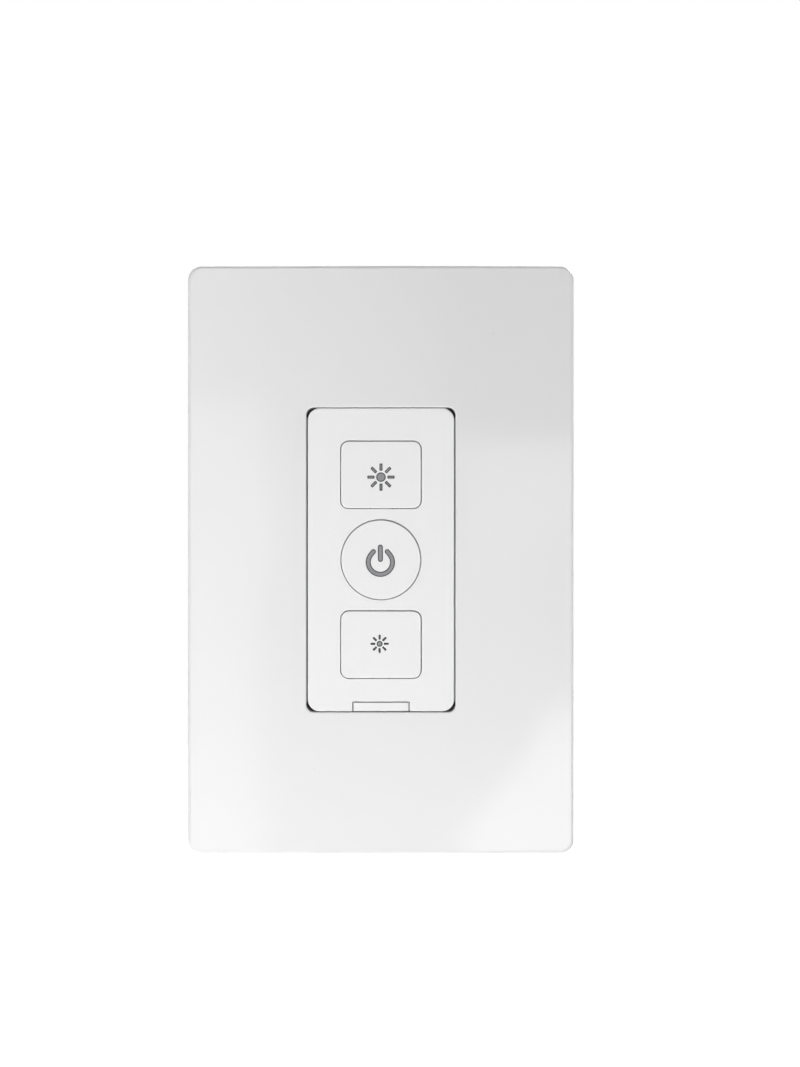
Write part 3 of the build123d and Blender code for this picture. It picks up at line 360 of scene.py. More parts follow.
def close_mesh(shape, name, smooth_angle=30.0):
    """A bmesh as a mesh with merged doubles, outward faces, and edges sharper than an angle kept sharp."""
    bmesh.ops.remove_doubles(shape, verts=shape.verts, dist=MICRON)
    bmesh.ops.recalc_face_normals(shape, faces=shape.faces)
    mesh = bpy.data.meshes.new(name)
    for face in shape.faces:
        face.smooth = True
    shape.to_mesh(mesh)
    shape.free()
    mesh.set_sharp_from_angle(angle=radians(smooth_angle))
    return mesh


def merged_copy(node):
    """A node's triangles as a bmesh with shared corners."""
    shape = bmesh.new()
    shape.from_mesh(NODES[node].data)
    bmesh.ops.remove_doubles(shape, verts=shape.verts, dist=2 * MICRON)
    return shape


def islands(shape):
    """The corners of each separate solid of a shape."""
    left, groups = set(shape.verts), []
    while left:
        group, edge = set(), [left.pop()]
        while edge:
            vert = edge.pop()
            group.add(vert)
            for link in vert.link_edges:
                other = link.other_vert(vert)
                if other in left:
                    left.discard(other)
                    edge.append(other)
        groups.append(group)
    return sorted(groups, key=lambda group: min((*v.co,) for v in group))


def middle(group):
    """The middle of the box round some corners."""
    low = Vector([min(v.co[i] for v in group) for i in range(3)])
    high = Vector([max(v.co[i] for v in group) for i in range(3)])
    return (low + high) / 2


def lathe(shape, profile, centre, axis, segments=48, material=0):
    """Turns a profile of (radius, distance along the axis) round an axis. A radius of 0 closes an end."""
    turn = Vector((0, 0, 1)).rotation_difference(Vector(axis)).to_matrix()
    rings = []
    for radius, along in profile:
        ring = []
        for i in range(segments if radius > 0 else 1):
            angle = 2 * pi * i / segments
            point = turn @ Vector((radius * cos(angle), radius * sin(angle), along))
            ring.append(shape.verts.new(Vector(centre) + point))
        rings.append(ring)
    for low, high in zip(rings, rings[1:]):
        for i in range(segments):
            corners = [low[i % len(low)], low[(i + 1) % len(low)],
                       high[(i + 1) % len(high)], high[i % len(high)]]
            shape.faces.new(list(dict.fromkeys(corners))).material_index = material


def slab(shape, low, high, round_by=0.0, segments=2, material=0):
    """A box between two corners whose edges are rounded."""
    low, high = Vector(low), Vector(high)
    matrix = Matrix.Translation((low + high) / 2) @ Matrix.Diagonal((*(high - low), 1.0))
    made = bmesh.ops.create_cube(shape, size=1.0, matrix=matrix)["verts"]
    faces = {face for vert in made for face in vert.link_faces}
    if round_by:
        edges = list({edge for vert in made for edge in vert.link_edges})
        before = set(shape.faces)
        bmesh.ops.bevel(shape, geom=edges, offset=round_by, segments=segments, profile=0.5, affect="EDGES")
        faces = {face for face in faces if face.is_valid} | (set(shape.faces) - before)
    for face in faces:
        face.material_index = material


def node_group(name, sizes):
    """A geometry tree with a named input for each size: the tree and its input sockets."""
    tree = bpy.data.node_groups.new(name, "GeometryNodeTree")
    tree.interface.new_socket("Geometry", in_out="OUTPUT", socket_type="NodeSocketGeometry")
    kinds = {float: "NodeSocketFloat", int: "NodeSocketInt", tuple: "NodeSocketVector"}
    for label, default in sizes.items():
        socket = tree.interface.new_socket(label, in_out="INPUT", socket_type=kinds[type(default)])
        socket.default_value = default
    tree.interface.new_socket("Material", in_out="INPUT", socket_type="NodeSocketMaterial")
    return tree, add(tree, "NodeGroupInput").outputs


def end_tree(tree, geometry, material):
    """Closes a tree with Realize Instances and Set Material."""
    real = add(tree, "GeometryNodeRealizeInstances", {"Geometry": geometry}).outputs["Geometry"]
    links = {"Geometry": real, "Material": material}
    painted = add(tree, "GeometryNodeSetMaterial", links).outputs["Geometry"]
    add(tree, "NodeGroupOutput", {"Geometry": painted})


def winding_tree():
    """A wire or a thread's ridge that winds round the Z axis. Its section keeps facing the axis."""
    sizes = {"Radius": 1 * MM, "Section": 0.2 * MM, "Pitch": 0.8 * MM, "Length": 5 * MM,
             "Sides": 3, "Steps": 24}
    tree, given = node_group("winding", sizes)
    turns = add(tree, "ShaderNodeMath", {0: given["Length"], 1: given["Pitch"]}, operation="DIVIDE")
    links = {"Resolution": given["Steps"], "Rotations": turns.outputs[0], "Start Radius": given["Radius"],
             "End Radius": given["Radius"], "Height": given["Length"]}
    spiral = add(tree, "GeometryNodeCurveSpiral", links).outputs["Curve"]
    level = add(tree, "GeometryNodeSetCurveNormal", {"Curve": spiral}, mode="Z_UP").outputs["Curve"]
    links = {"Resolution": given["Sides"], "Radius": given["Section"]}
    section = add(tree, "GeometryNodeCurvePrimitiveCircle", links).outputs["Curve"]
    links = {"Curve": level, "Profile Curve": section, "Fill Caps": True}
    end_tree(tree, add(tree, "GeometryNodeCurveToMesh", links).outputs["Mesh"], given["Material"])
    return tree


def rib_tree():
    """A row of like ribs."""
    sizes = {"Rib": (1 * MM, 1 * MM, 1 * MM), "Start": (0.0, 0.0, 0.0), "Step": (1 * MM, 0.0, 0.0),
             "Count": 5}
    tree, given = node_group("ribs", sizes)
    links = {"Count": given["Count"], "Start Location": given["Start"], "Offset": given["Step"]}
    row = add(tree, "GeometryNodeMeshLine", links, mode="OFFSET").outputs["Mesh"]
    rib = add(tree, "GeometryNodeMeshCube", {"Size": given["Rib"]}).outputs["Mesh"]
    links = {"Points": row, "Instance": rib}
    ribs = add(tree, "GeometryNodeInstanceOnPoints", links).outputs["Instances"]
    end_tree(tree, ribs, given["Material"])
    return tree


TREES = {}


def grow(maker, **sizes):
    """Runs a geometry tree with these sizes and returns its plain mesh."""
    if maker not in TREES:
        TREES[maker] = maker()
    tree = TREES[maker]
    holder = bpy.data.objects.new(tree.name, bpy.data.meshes.new(tree.name))
    bpy.context.scene.collection.objects.link(holder)
    modifier = holder.modifiers.new(tree.name, "NODES")
    modifier.node_group = tree
    values = {label.title(): value for label, value in sizes.items()}
    for item in tree.interface.items_tree:
        if item.in_out == "INPUT" and item.name in values:
            modifier[item.identifier] = values[item.name]
        elif item.in_out == "INPUT" and item.name == "Material":
            modifier[item.identifier] = finish("screw")
    reader = bpy.context.evaluated_depsgraph_get()
    mesh = bpy.data.meshes.new_from_object(holder.evaluated_get(reader))
    bpy.data.objects.remove(holder)
    return mesh


def join(shape, mesh, material=0, matrix=None):
    """Adds a mesh to a shape with one material index, and removes the mesh."""
    if matrix:
        mesh.transform(matrix)
    before = set(shape.faces)
    shape.from_mesh(mesh)
    for face in set(shape.faces) - before:
        face.material_index = material
    bpy.data.meshes.remove(mesh)


def wind(shape, centre, axis, start, end, material=0, **sizes):
    """Adds a helix round an axis through a centre, between two distances along it."""
    turn = Vector((0, 0, 1)).rotation_difference(Vector(axis)).to_matrix().to_4x4()
    mesh = grow(winding_tree, length=end - start, **sizes)
    join(shape, mesh, material, Matrix.Translation(Vector(centre) + Vector(axis) * start) @ turn)


def threaded_screws(name, node, slot, kind, tip, pitch):
    """Screws with the node's own heads and a cut thread in place of the plain shank.

    The tip is the direction in which they are driven in. A tip of None stands for the terminals' screws,
    which point to the middle from both sides.
    """
    start, end, crest, root = THREADS[node]
    shape = merged_copy(node)
    for group in islands(shape):
        centre = middle(group)
        axis = Vector(tip) if tip else Vector((-1 if centre.x > 0 else 1, 0, 0))
        base = centre - axis * centre.dot(axis)
        edges = {edge for vert in group for edge in vert.link_edges}
        faces = {face for vert in group for face in vert.link_faces}
        cut = bmesh.ops.bisect_plane(
            shape, geom=[*group, *edges, *faces], plane_co=base + axis * start, plane_no=axis,
            clear_outer=True, dist=MICRON,
        )["geom_cut"]
        bmesh.ops.edgenet_fill(shape, edges=[g for g in cut if isinstance(g, bmesh.types.BMEdge)])
        depth = crest - root
        taper = min(pitch, (end - start) / 3)
        profile = [(0.0, start - depth), (root, start - depth), (root, end - taper), (0.6 * root, end),
                   (0.0, end)]
        lathe(shape, profile, base, axis, 32)
        wind(shape, base, axis, start + pitch / 3, end - taper - pitch / 4, radius=root + depth / 3,
             section=2 * depth / 3, pitch=pitch, sides=3, steps=24)
    place_piece(name, close_mesh(shape, name), slot, [kind], node)


def icon_piece(name):
    """An icon's light guide with a slightly sunken rim round each of its shapes, painted near-black as
    shade of the seam.
    """
    node = f"{name}_icon"
    rim = bpy.context.scene.dimmer_sizes.icon_rim
    shape = merged_copy(node)
    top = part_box(node)[0].y
    bmesh.ops.dissolve_limit(shape, angle_limit=radians(0.5), verts=shape.verts, edges=shape.edges)
    faces = [face for face in shape.faces
             if face.normal.y < -0.99 and abs(face.calc_center_median().y - top) < 5 * MICRON]
    edge = {vert for face in faces for vert in face.verts}
    ring = bmesh.ops.inset_region(shape, faces=faces, thickness=rim, use_even_offset=True,
                                  use_boundary=True)["faces"]
    # The rim gets the near-black finish: painted shade of the seam between icon and button
    for face in ring:
        face.material_index = 1
    for vert in edge:
        if vert.is_valid and any(abs(face.normal.y) < 0.5 for face in vert.link_faces):
            vert.co.y += 0.3 * rim
    place_piece(f"{name}_light_guide", close_mesh(shape, node), "icon_plastic",
                ["guide", "guide_seam_shade"], node)


class DimmerFinish(bpy.types.PropertyGroup):
    """The colours of the parts that show."""

    cover: FloatVectorProperty(
        name="Cover", description="Colour of the cover plate", subtype="COLOR", min=0.0, max=1.0,
        default=linear("#E5E5E5")[:3],
    )
    insert: FloatVectorProperty(
        name="Insert", description="Colour of the insert, its buttons and its tab", subtype="COLOR",
        min=0.0, max=1.0, default=linear("#F0F0F0")[:3],
    )
    icon: FloatVectorProperty(
        name="Icons", description="Colour of the icons' light guides", subtype="COLOR", min=0.0, max=1.0,
        default=linear("#8C8C8E")[:3],
    )
    housing: FloatVectorProperty(
        name="Housing", description="Colour of the rear housing", subtype="COLOR", min=0.0, max=1.0,
        default=linear("#18181A")[:3],
    )
    steel: FloatVectorProperty(
        name="Strap", description="Colour of the strap's zinc plating", subtype="COLOR", min=0.0, max=1.0,
        default=linear("#C2C6C8")[:3],
    )
    brass: FloatVectorProperty(
        name="Brass", description="Colour of the terminals", subtype="COLOR", min=0.0, max=1.0,
        default=linear("#D6AE62")[:3],
    )


class DimmerSizes(bpy.types.PropertyGroup):
    """The sizes of the details that the solids leave plain."""

    icon_rim: FloatProperty(
        name="Icon rim", description="Width of the darker rim of an icon", unit="LENGTH",
        default=0.2 * MM, min=0.05 * MM, max=0.2 * MM,
    )
    thread_pitch: FloatProperty(
        name="Thread pitch", description="Pitch of the 6-32 screws", unit="LENGTH",
        default=25.4 / 32 * MM, min=0.4 * MM, max=1.5 * MM,
    )
    wire: FloatProperty(
        name="Wire", description="Thickness of the choke's wire", unit="LENGTH",
        default=0.5 * MM, min=0.2 * MM, max=1.0 * MM,
    )
    clamp_ribs: IntProperty(
        name="Clamp ribs", description="Ribs on a terminal's clamp", default=5, min=2, max=8,
    )
    switch_lid: FloatProperty(
        name="Switch lid", description="Thickness of a switch's metal lid", unit="LENGTH",
        default=0.3 * MM, min=0.1 * MM, max=0.5 * MM,
    )
    chip_leads: IntProperty(
        name="Chip leads", description="Leads on each side of the control chip", default=12, min=4, max=16,
    )


class DimmerStudio(bpy.types.PropertyGroup):
    """The studio's lamps and floor."""

    key: FloatProperty(name="Key lamp", description="Power of the soft lamp on the left", unit="POWER",
                       default=4.85, min=0.0)
    fill: FloatProperty(name="Fill lamp", description="Power of the soft lamp on the right", unit="POWER",
                        default=1.0, min=0.0)
    rear: FloatProperty(name="Rear lamp", description="Power of the lamp that lights the back",
                        unit="POWER", default=8.0, min=0.0)
    rim: FloatProperty(name="Rim lamp", description="Power of the small lamp at the upper right",
                       unit="POWER", default=6.0, min=0.0)
    sky: FloatProperty(name="Sky", description="Strength of the even light from all round",
                       default=0.23, min=0.0)
    floor: FloatProperty(name="Floor", description="Height of the floor", unit="LENGTH", default=-0.5)


class DIMMER_OT_stage(bpy.types.Operator):
    """Sets up the camera, the lamps, the white room and the floor."""

    bl_idname = "dimmer.stage"
    bl_label = "Studio"

    def execute(self, context):
        scene = context.scene
        studio = scene.dimmer_studio
        scene.view_settings.view_transform = "Standard"
        camera = bpy.data.objects.new("camera", bpy.data.cameras.new("camera"))
        scene.collection.objects.link(camera)
        camera.location = (
            (PHOTO_WIDTH / 2 - OPENING_PIXEL_X) * METRES_PER_PIXEL,
            FACE_Y - CAMERA_DISTANCE,
            (OPENING_PIXEL_Y - PHOTO_HEIGHT / 2) * METRES_PER_PIXEL,
        )
        camera.rotation_euler = (pi / 2, 0, 0)
        camera.data.sensor_width = SENSOR_LENGTH
        camera.data.lens = SENSOR_LENGTH * CAMERA_DISTANCE / (METRES_PER_PIXEL * PHOTO_HEIGHT)
        camera.data.clip_start = 5 * MM
        scene.camera = camera
        lamps = {
            "key": (studio.key, (-0.26, -0.6, -0.4), 0.3),
            "fill": (studio.fill, (0.9, -0.8, 0.7), 0.8),
            "rear": (studio.rear, (0.5, 1.1, 0.8), 0.9),
            "rim": (studio.rim, (0.8, 0.22, 0.8), 0.25),
        }
        for name, (power, place, size) in lamps.items():
            lamp = bpy.data.objects.new(name, bpy.data.lights.new(name, "AREA"))
            scene.collection.objects.link(lamp)
            lamp.data.energy = power
            lamp.data.size = size
            lamp.location = place
            lamp.rotation_euler = (-Vector(place)).to_track_quat("-Z", "Y").to_euler()
            # Seen from the right, the cover would mirror the key lamp as a hard white patch
            lamp.visible_glossy = name != "key"
        self.light_world(scene, studio)
        self.lay_floor(scene, studio)
        # The outlines overlap, so each face hangs a little farther from the wall than the one before
        spacing = 0.01
        for depth, (name, (outline, first, last, axis, fade)) in enumerate(WINDOWS.items()):
            back = Vector((0, spacing * depth, 0))
            corners = [self.mirrored(camera.location, *pixel) - back for pixel in outline]
            ends = [getattr(self.mirrored(camera.location, pixel, pixel), axis.lower()) for pixel in fade]
            self.hang_window(scene, name, corners, first, last, axis, ends)
        for name, window in EDGE_WINDOWS.items():
            self.hang_window(scene, name, *window)
        return {"FINISHED"}

    @staticmethod
    def mirrored(camera, pixel_x, pixel_y):
        """The point behind the camera that the crowned cover mirrors at a pixel of the photograph."""
        spot = Vector(((pixel_x - OPENING_PIXEL_X) * METRES_PER_PIXEL, FACE_Y,
                       (OPENING_PIXEL_Y - pixel_y) * METRES_PER_PIXEL))
        tilt = spot.x / CROWN_RADIUS
        ray = (spot - camera).normalized().reflect(Vector((sin(tilt), -cos(tilt), 0)))
        return spot + ray * ((camera.y - MIRROR_DISTANCE - spot.y) / ray.y)

    @staticmethod
    def hang_window(scene, name, corners, first, last, axis, ends):
        """A lamp's soft face that shows in glossy surfaces alone."""
        mesh = bpy.data.meshes.new(name)
        mesh.from_pydata(corners, [], [range(len(corners))])
        window = bpy.data.objects.new(name, mesh)
        scene.collection.objects.link(window)
        material = bpy.data.materials.new(name)
        material.use_nodes = True
        tree = material.node_tree
        tree.nodes.clear()
        place = add(tree, "ShaderNodeNewGeometry").outputs["Position"]
        along = add(tree, "ShaderNodeSeparateXYZ", {"Vector": place}).outputs[axis]
        links = {"Value": along, "From Min": ends[0], "From Max": ends[1], "To Min": first, "To Max": last}
        ramp = add(tree, "ShaderNodeMapRange", links).outputs["Result"]
        path = add(tree, "ShaderNodeLightPath").outputs["Is Glossy Ray"]
        power = add(tree, "ShaderNodeMath", {0: ramp, 1: path}, operation="MULTIPLY").outputs[0]
        light = add(tree, "ShaderNodeEmission", {"Strength": power})
        clear = add(tree, "ShaderNodeBsdfTransparent")
        both = add(tree, "ShaderNodeAddShader", {0: light.outputs[0], 1: clear.outputs[0]})
        add(tree, "ShaderNodeOutputMaterial", {"Surface": both.outputs[0]})
        mesh.materials.append(material)

    @staticmethod
    def seen_directly(tree):
        """1 for what the camera, a mirror or a clear piece shows of a surface, and 0 for its light."""
        path = add(tree, "ShaderNodeLightPath").outputs
        either = path["Is Camera Ray"]
        for kind in ("Is Glossy Ray", "Is Transmission Ray"):
            either = add(tree, "ShaderNodeMath", {0: either, 1: path[kind]}, operation="MAXIMUM").outputs[0]
        return either

    def light_world(self, scene, studio):
        """A room that is white where it is seen and gives a plain, even light."""
        world = bpy.data.worlds.new("studio")
        world.use_nodes = True
        scene.world = world
        tree = world.node_tree
        light = tree.nodes["Background"]
        light.inputs["Color"].default_value = (1, 1, 1, 1)
        light.inputs["Strength"].default_value = studio.sky
        white = add(tree, "ShaderNodeBackground", {"Color": (1, 1, 1, 1), "Strength": 1.0})
        links = {0: self.seen_directly(tree), 1: light.outputs[0], 2: white.outputs[0]}
        mix = add(tree, "ShaderNodeMixShader", links)
        tree.links.new(mix.outputs[0], tree.nodes["World Output"].inputs["Surface"])

    def lay_floor(self, scene, studio):
        """A pale floor that melts into the white room but keeps the shadow on it."""
        radius, fade_start, fade_end = 4.0, 0.55, 1.3
        shape = bmesh.new()
        bmesh.ops.create_circle(shape, cap_ends=True, radius=radius, segments=96,
                                matrix=Matrix.Translation((0, 0, studio.floor)))
        mesh = bpy.data.meshes.new("floor")
        shape.to_mesh(mesh)
        shape.free()
        floor = bpy.data.objects.new("floor", mesh)
        scene.collection.objects.link(floor)
        # Matt white paper: it scatters light and has no gloss
        material = bpy.data.materials.new("white_paper")
        material.use_nodes = True
        tree = material.node_tree
        tree.nodes.clear()
        paper = add(tree, "ShaderNodeBsdfDiffuse", {"Color": tone("#EDEDED")})
        glow = add(tree, "ShaderNodeEmission", {"Color": (1, 1, 1, 1), "Strength": 1.15})
        place = add(tree, "ShaderNodeNewGeometry").outputs["Position"]
        away = add(tree, "ShaderNodeVectorMath", {0: place}, operation="LENGTH").outputs["Value"]
        links = {"Value": away, "From Min": fade_start, "From Max": fade_end, "To Min": 0.6, "To Max": 1.0}
        fade = add(tree, "ShaderNodeMapRange", links).outputs["Result"]
        links = {0: self.seen_directly(tree), 1: fade}
        share = add(tree, "ShaderNodeMath", links, operation="MULTIPLY")
        links = {0: share.outputs[0], 1: paper.outputs[0], 2: glow.outputs[0]}
        mix = add(tree, "ShaderNodeMixShader", links)
        add(tree, "ShaderNodeOutputMaterial", {"Surface": mix.outputs[0]})
        mesh.materials.append(material)


class DIMMER_OT_front(bpy.types.Operator):
    """Finishes the cover plate, the insert with its tab, and the buttons with their icons."""

    bl_idname = "dimmer.front"
    bl_label = "Cover, insert and buttons"

    def execute(self, context):
        dress("gloss", "cover_plate")
        dress("satin", "insert_frame", "air_gap_tab", "brighten_button", "power_button", "dim_button")
        for name in ("brighten", "power", "dim"):
            icon_piece(name)
        return {"FINISHED"}


class DIMMER_OT_mounting(bpy.types.Operator):
    """Finishes the carrier plate, the strap and its retainers, and threads the mounting screws."""

    bl_idname = "dimmer.mounting"
    bl_label = "Mounting parts"

    def execute(self, context):
        pitch = context.scene.dimmer_sizes.thread_pitch
        # The carrier's dark colour is painted shade for the gap round the insert
        dress("nylon", "carrier_plate")
        dress("zinc", "mounting_strap")
        dress("fibre", "screw_retainers")
        dress("green", "ground_screw")
        threads = (
            ("box_screws", INTO_WALL, pitch),
            ("carrier_screws", INTO_WALL, pitch),
            ("housing_screws", INTO_ROOM, pitch),
            ("board_screws", INTO_WALL, BOARD_SCREW_PITCH),
        )
        for node, tip, thread_pitch in threads:
            threaded_screws(f"{node}_threaded", node, "screw_steel", "screw", tip, thread_pitch)
        return {"FINISHED"}


class DIMMER_OT_terminals(bpy.types.Operator):
    """Finishes the terminals' plates, screws and clamps."""

    bl_idname = "dimmer.terminals"
    bl_label = "Terminals"

    def execute(self, context):
        pitch = context.scene.dimmer_sizes.thread_pitch
        dress("brass", "line_terminal", "load_terminal", "neutral_terminal", "traveller_terminal")
        threaded_screws("brass_screws_threaded", "brass_terminal_screws", "brass", "brass", None, pitch)
        threaded_screws("neutral_screw_threaded", "neutral_terminal_screw", "screw_steel", "screw", None,
                        pitch)
        self.ribbed_clamps(context.scene.dimmer_sizes.clamp_ribs)
        return {"FINISHED"}

    @staticmethod
    def ribbed_clamps(count):
        """Clamps with ribs across their inner face that bite the wire."""
        shape = merged_copy("terminal_clamps")
        for group in islands(shape):
            centre = middle(group)
            side = 1 if centre.x > 0 else -1
            width = max(v.co.z for v in group) - min(v.co.z for v in group)
            inner = min(abs(v.co.x) for v in group)
            step = width / (count + 1)
            rib = (0.16 * MM, 0.16 * width, 0.35 * step)
            reach = 0.36 * width
            for end in (-1, 1):
                # The ribs stop short of the screw's hole in the middle
                start = (side * inner, centre.y + end * reach, centre.z - width / 2 + step)
                mesh = grow(rib_tree, rib=rib, start=start, step=(0.0, 0.0, step), count=count)
                join(shape, mesh)
        place_piece("ribbed_clamps", close_mesh(shape, "ribbed_clamps"), "screw_steel", ["tin"],
                    "terminal_clamps")


class DIMMER_OT_housing(bpy.types.Operator):
    """Finishes the rear housing."""

    bl_idname = "dimmer.housing"
    bl_label = "Rear housing"

    def execute(self, context):
        dress("housing", "rear_housing")
        return {"FINISHED"}


class DIMMER_OT_switches(bpy.types.Operator):
    """Finishes the switches, their domes and plungers, the lamps and the air gap's contacts."""

    bl_idname = "dimmer.switches"
    bl_label = "Switches and contacts"

    def execute(self, context):
        dress("acetal", "brighten_plunger", "power_plunger", "dim_plunger")
        dress("spring", "snap_domes")
        dress("phosphor", "backlight_leds")
        dress("brass", "contact_bridge", "mains_contacts")
        self.framed_switches(context.scene.dimmer_sizes.switch_lid)
        return {"FINISHED"}

    @staticmethod
    def framed_switches(lid):
        """Switch bodies under a tinned lid, held by four melted pegs."""
        node = "switch_bodies"
        shape = merged_copy(node)
        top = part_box(node)[0].y
        groups = [middle(group) for group in islands(shape)]
        bmesh.ops.bisect_plane(shape, geom=[*shape.verts, *shape.edges, *shape.faces],
                               plane_co=(0, top + lid, 0), plane_no=(0, 1, 0), dist=MICRON)
        for face in shape.faces:
            face.material_index = int(face.calc_center_median().y < top + lid - MICRON)
        reach, peg, rise = 1.75 * MM, 0.3 * MM, 0.08 * MM
        for centre in groups:
            for x in (-reach, reach):
                for z in (-reach, reach):
                    base = (centre.x + x, 0, centre.z + z)
                    profile = [(0.0, top - rise), (0.7 * peg, top - rise), (peg, top), (peg, top + rise),
                               (0.0, top + rise)]
                    lathe(shape, profile, base, (0, 1, 0), 16)
        place_piece("framed_switches", close_mesh(shape, node), "switch_plastic", ["black_nylon", "tin"],
                    node)


class DIMMER_OT_boards(bpy.types.Operator):
    """Finishes the boards, the radio, the chips and the headers."""

    bl_idname = "dimmer.boards"
    bl_label = "Boards and headers"

    def execute(self, context):
        dress("mask", "control_board", "power_board", "radio_module")
        dress("film", "insulator_sheet")
        dress("tin", "radio_can")
        dress("epoxy", "rectifier", "dimming_transistors")
        dress("black_nylon", "header_strip", "header_socket")
        dress("brass", "header_pins")
        self.leaded_chip(context.scene.dimmer_sizes.chip_leads)
        return {"FINISHED"}

    @staticmethod
    def leaded_chip(count):
        """A flat package with a round mark in one corner, and tinned leads on its four sides."""
        low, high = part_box("control_chip")
        centre = (low + high) / 2
        lead, soft, short_by = 0.5 * MM, 0.12 * MM, 0.1 * MM
        mark_radius, mark_top, mark_foot = 0.4 * MM, high.y - 0.09 * MM, high.y - 0.2 * MM
        shape = bmesh.new()
        inset = Vector((lead, 0, lead))
        slab(shape, low + inset, high - inset - Vector((0, short_by, 0)), soft)
        step = (high.x - low.x - 2 * lead) / (count + 1)
        mark = (low.x + 2 * lead, 0, high.z - 2 * lead)
        profile = [(0.0, mark_top), (mark_radius, mark_top), (mark_radius, mark_foot), (0.0, mark_foot)]
        lathe(shape, profile, mark, (0, 1, 0), 24, 1)
        thick = 0.15 * MM
        for side in (-1, 1):
            edge = side * ((high.x - low.x) / 2 - lead / 2)
            rows = (
                ((lead, thick, 0.5 * step), (centre.x + edge, low.y + thick, centre.z), (0.0, 0.0, step)),
                ((0.5 * step, thick, lead), (centre.x, low.y + thick, centre.z + edge), (step, 0.0, 0.0)),
            )
            for rib, middle_lead, along in rows:
                start = Vector(middle_lead) - Vector(along) * (count - 1) / 2
                join(shape, grow(rib_tree, rib=rib, start=(*start,), step=along, count=count), 1)
        place_piece("leaded_chip", close_mesh(shape, "leaded_chip"), "package_epoxy", ["epoxy", "tin"],
                    "control_chip")


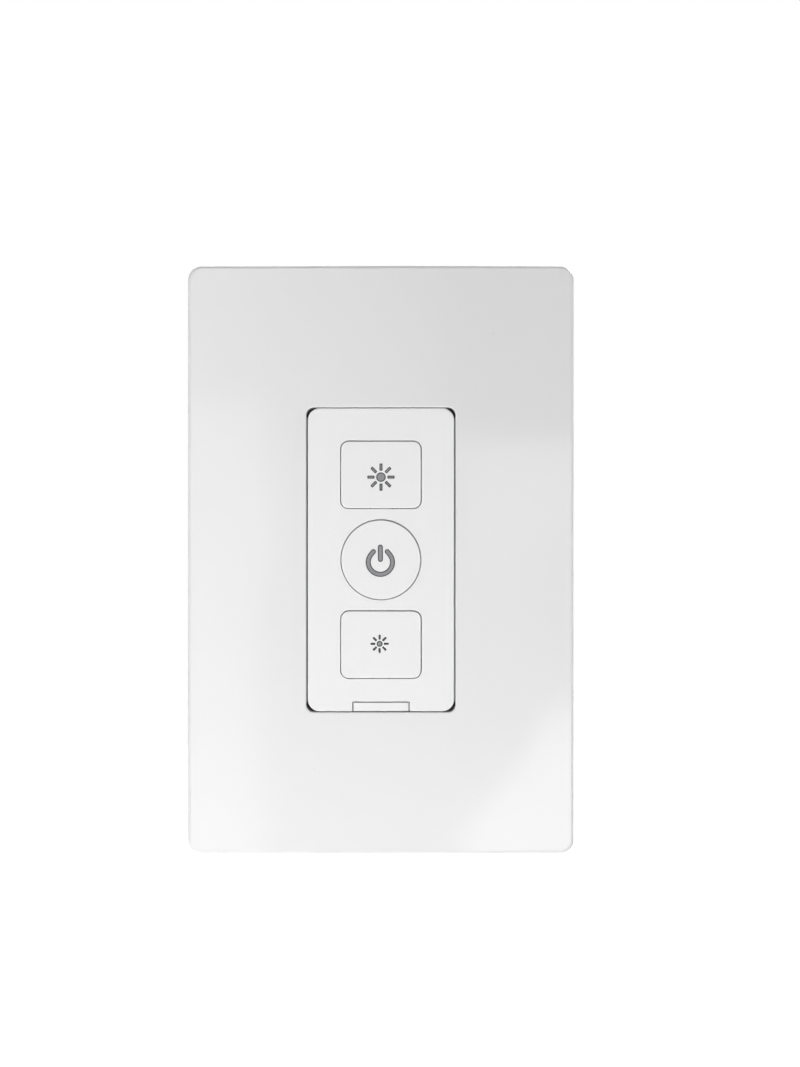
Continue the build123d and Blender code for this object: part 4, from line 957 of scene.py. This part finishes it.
class DIMMER_OT_power_parts(bpy.types.Operator):
    """Finishes the heat sink, capacitors, transformer, wound parts, varistor and fuse."""

    bl_idname = "dimmer.power_parts"
    bl_label = "Power parts"

    def execute(self, context):
        wire = context.scene.dimmer_sizes.wire
        dress("aluminium", "heat_sink")
        dress("yellow_case", "film_capacitor")
        dress("blue_dip", "varistor")
        dress("ferrite", "fuse")
        self.taped_transformer("supply_transformer")
        self.wound_drum("filter_choke_wound", "filter_choke", wire)
        self.wound_drum("converter_coil_wound", "converter_coil", 0.8 * wire)
        self.sleeved_can("bulk_capacitor")
        return {"FINISHED"}

    @staticmethod
    def taped_transformer(node):
        """A ferrite core round a black bobbin whose winding is wrapped in tape."""
        low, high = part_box(node)
        flange, bobbin_end, winding_inset = 1.4 * MM, 0.8 * MM, 0.5 * MM
        core_inset, core_side, core_depth = 0.8 * MM, 2.5 * MM, 1.6 * MM
        shape = bmesh.new()
        body_low = low + Vector((0, 0, bobbin_end))
        body_high = high - Vector((0, 0, bobbin_end))
        for start, end in ((low.y, low.y + flange), (high.y - flange, high.y)):
            slab(shape, (body_low.x, start, body_low.z), (body_high.x, end, body_high.z), 0.3 * MM, 2, 1)
        slab(shape, (low.x + winding_inset, low.y + flange, body_low.z + winding_inset),
             (high.x - winding_inset, high.y - flange, body_high.z - winding_inset), 1.2 * MM, 5)
        for start, end in ((low.z, low.z + core_depth), (high.z - core_depth, high.z)):
            slab(shape, (low.x + core_side, low.y + core_inset, start),
                 (high.x - core_side, high.y - core_inset, end), 0.25 * MM, 2, 2)
        place_piece("taped_transformer", close_mesh(shape, node), "winding_tape",
                    ["tape", "black_nylon", "ferrite"], node)

    @staticmethod
    def wound_drum(name, node, wire):
        """A ferrite drum with a flange at each end and one layer of wire between them."""
        low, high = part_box(node)
        centre = (low + high) / 2
        radius = (high.x - low.x) / 2
        flange = 0.14 * (high.y - low.y)
        shape = bmesh.new()
        base = Vector((centre.x, 0, centre.z))
        hub = radius - 2.2 * wire
        soft = 0.25 * MM
        profile = [(0.0, low.y), (radius - soft, low.y), (radius, low.y + soft),
                   (radius, low.y + flange - soft), (radius - soft, low.y + flange), (hub, low.y + flange),
                   (hub, high.y - flange), (radius - soft, high.y - flange),
                   (radius, high.y - flange + soft), (radius, high.y - soft), (radius - soft, high.y),
                   (0.0, high.y)]
        lathe(shape, profile, base, (0, 1, 0))
        wind(shape, base, (0, 1, 0), low.y + flange + wire / 2, high.y - flange - wire / 2, 1,
             radius=hub + wire / 2, section=wire / 2, pitch=1.04 * wire, sides=8, steps=36)
        place_piece(name, close_mesh(shape, name), "ferrite", ["ferrite", "copper"], node)

    @staticmethod
    def sleeved_can(node):
        """An aluminium can in a shrink sleeve, with a rolled groove and curled sleeve edges."""
        low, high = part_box(node)
        centre = (low + high) / 2
        radius = (high.x - low.x) / 2
        base = Vector((centre.x, 0, centre.z))
        top, foot = low.y, high.y
        lip, groove, soft, sunk = 0.75 * MM, 1.6 * MM, 0.3 * MM, 0.12 * MM
        shape = bmesh.new()
        sleeve = [(radius - lip, top), (radius - soft, top), (radius, top + soft),
                  (radius, foot - groove - soft), (radius - soft, foot - groove),
                  (radius, foot - groove + soft), (radius, foot - soft), (radius - lip, foot), (0.0, foot)]
        lathe(shape, sleeve, base, (0, 1, 0), 64)
        cap = [(0.0, top + sunk), (radius - lip, top + sunk), (radius - lip, top)]
        lathe(shape, cap, base, (0, 1, 0), 64, 1)
        place_piece("bulk_capacitor_sleeved", close_mesh(shape, node), "capacitor_sleeve",
                    ["sleeve", "aluminium"], node)


class DIMMER_PT_panel(bpy.types.Panel):
    """Lists the steps that make the dimmer's looks."""

    bl_idname = "DIMMER_PT_panel"
    bl_label = "Smart dimmer switch"
    bl_space_type = "VIEW_3D"
    bl_region_type = "UI"
    bl_category = "Dimmer"

    def draw(self, context):
        for operator in OPERATORS:
            self.layout.operator(operator.bl_idname)
        for group in ("dimmer_finish", "dimmer_sizes", "dimmer_studio"):
            values = getattr(context.scene, group)
            for name in values.__annotations__:
                self.layout.prop(values, name)


GROUPS = {"dimmer_finish": DimmerFinish, "dimmer_sizes": DimmerSizes, "dimmer_studio": DimmerStudio}
OPERATORS = (
    DIMMER_OT_stage,
    DIMMER_OT_front,
    DIMMER_OT_mounting,
    DIMMER_OT_terminals,
    DIMMER_OT_housing,
    DIMMER_OT_switches,
    DIMMER_OT_boards,
    DIMMER_OT_power_parts,
)


def register():
    for kind in (*GROUPS.values(), *OPERATORS, DIMMER_PT_panel):
        bpy.utils.register_class(kind)
    for name, kind in GROUPS.items():
        setattr(bpy.types.Scene, name, PointerProperty(type=kind))


def unregister():
    for name in GROUPS:
        delattr(bpy.types.Scene, name)
    for kind in (DIMMER_PT_panel, *reversed(OPERATORS), *GROUPS.values()):
        bpy.utils.unregister_class(kind)


def main():
    """Registers the add-on, and makes the studio and every piece."""
    register()
    for operator in OPERATORS:
        group, action = operator.bl_idname.split(".")
        getattr(getattr(bpy.ops, group), action)()


if __name__ == "__main__":
    main()
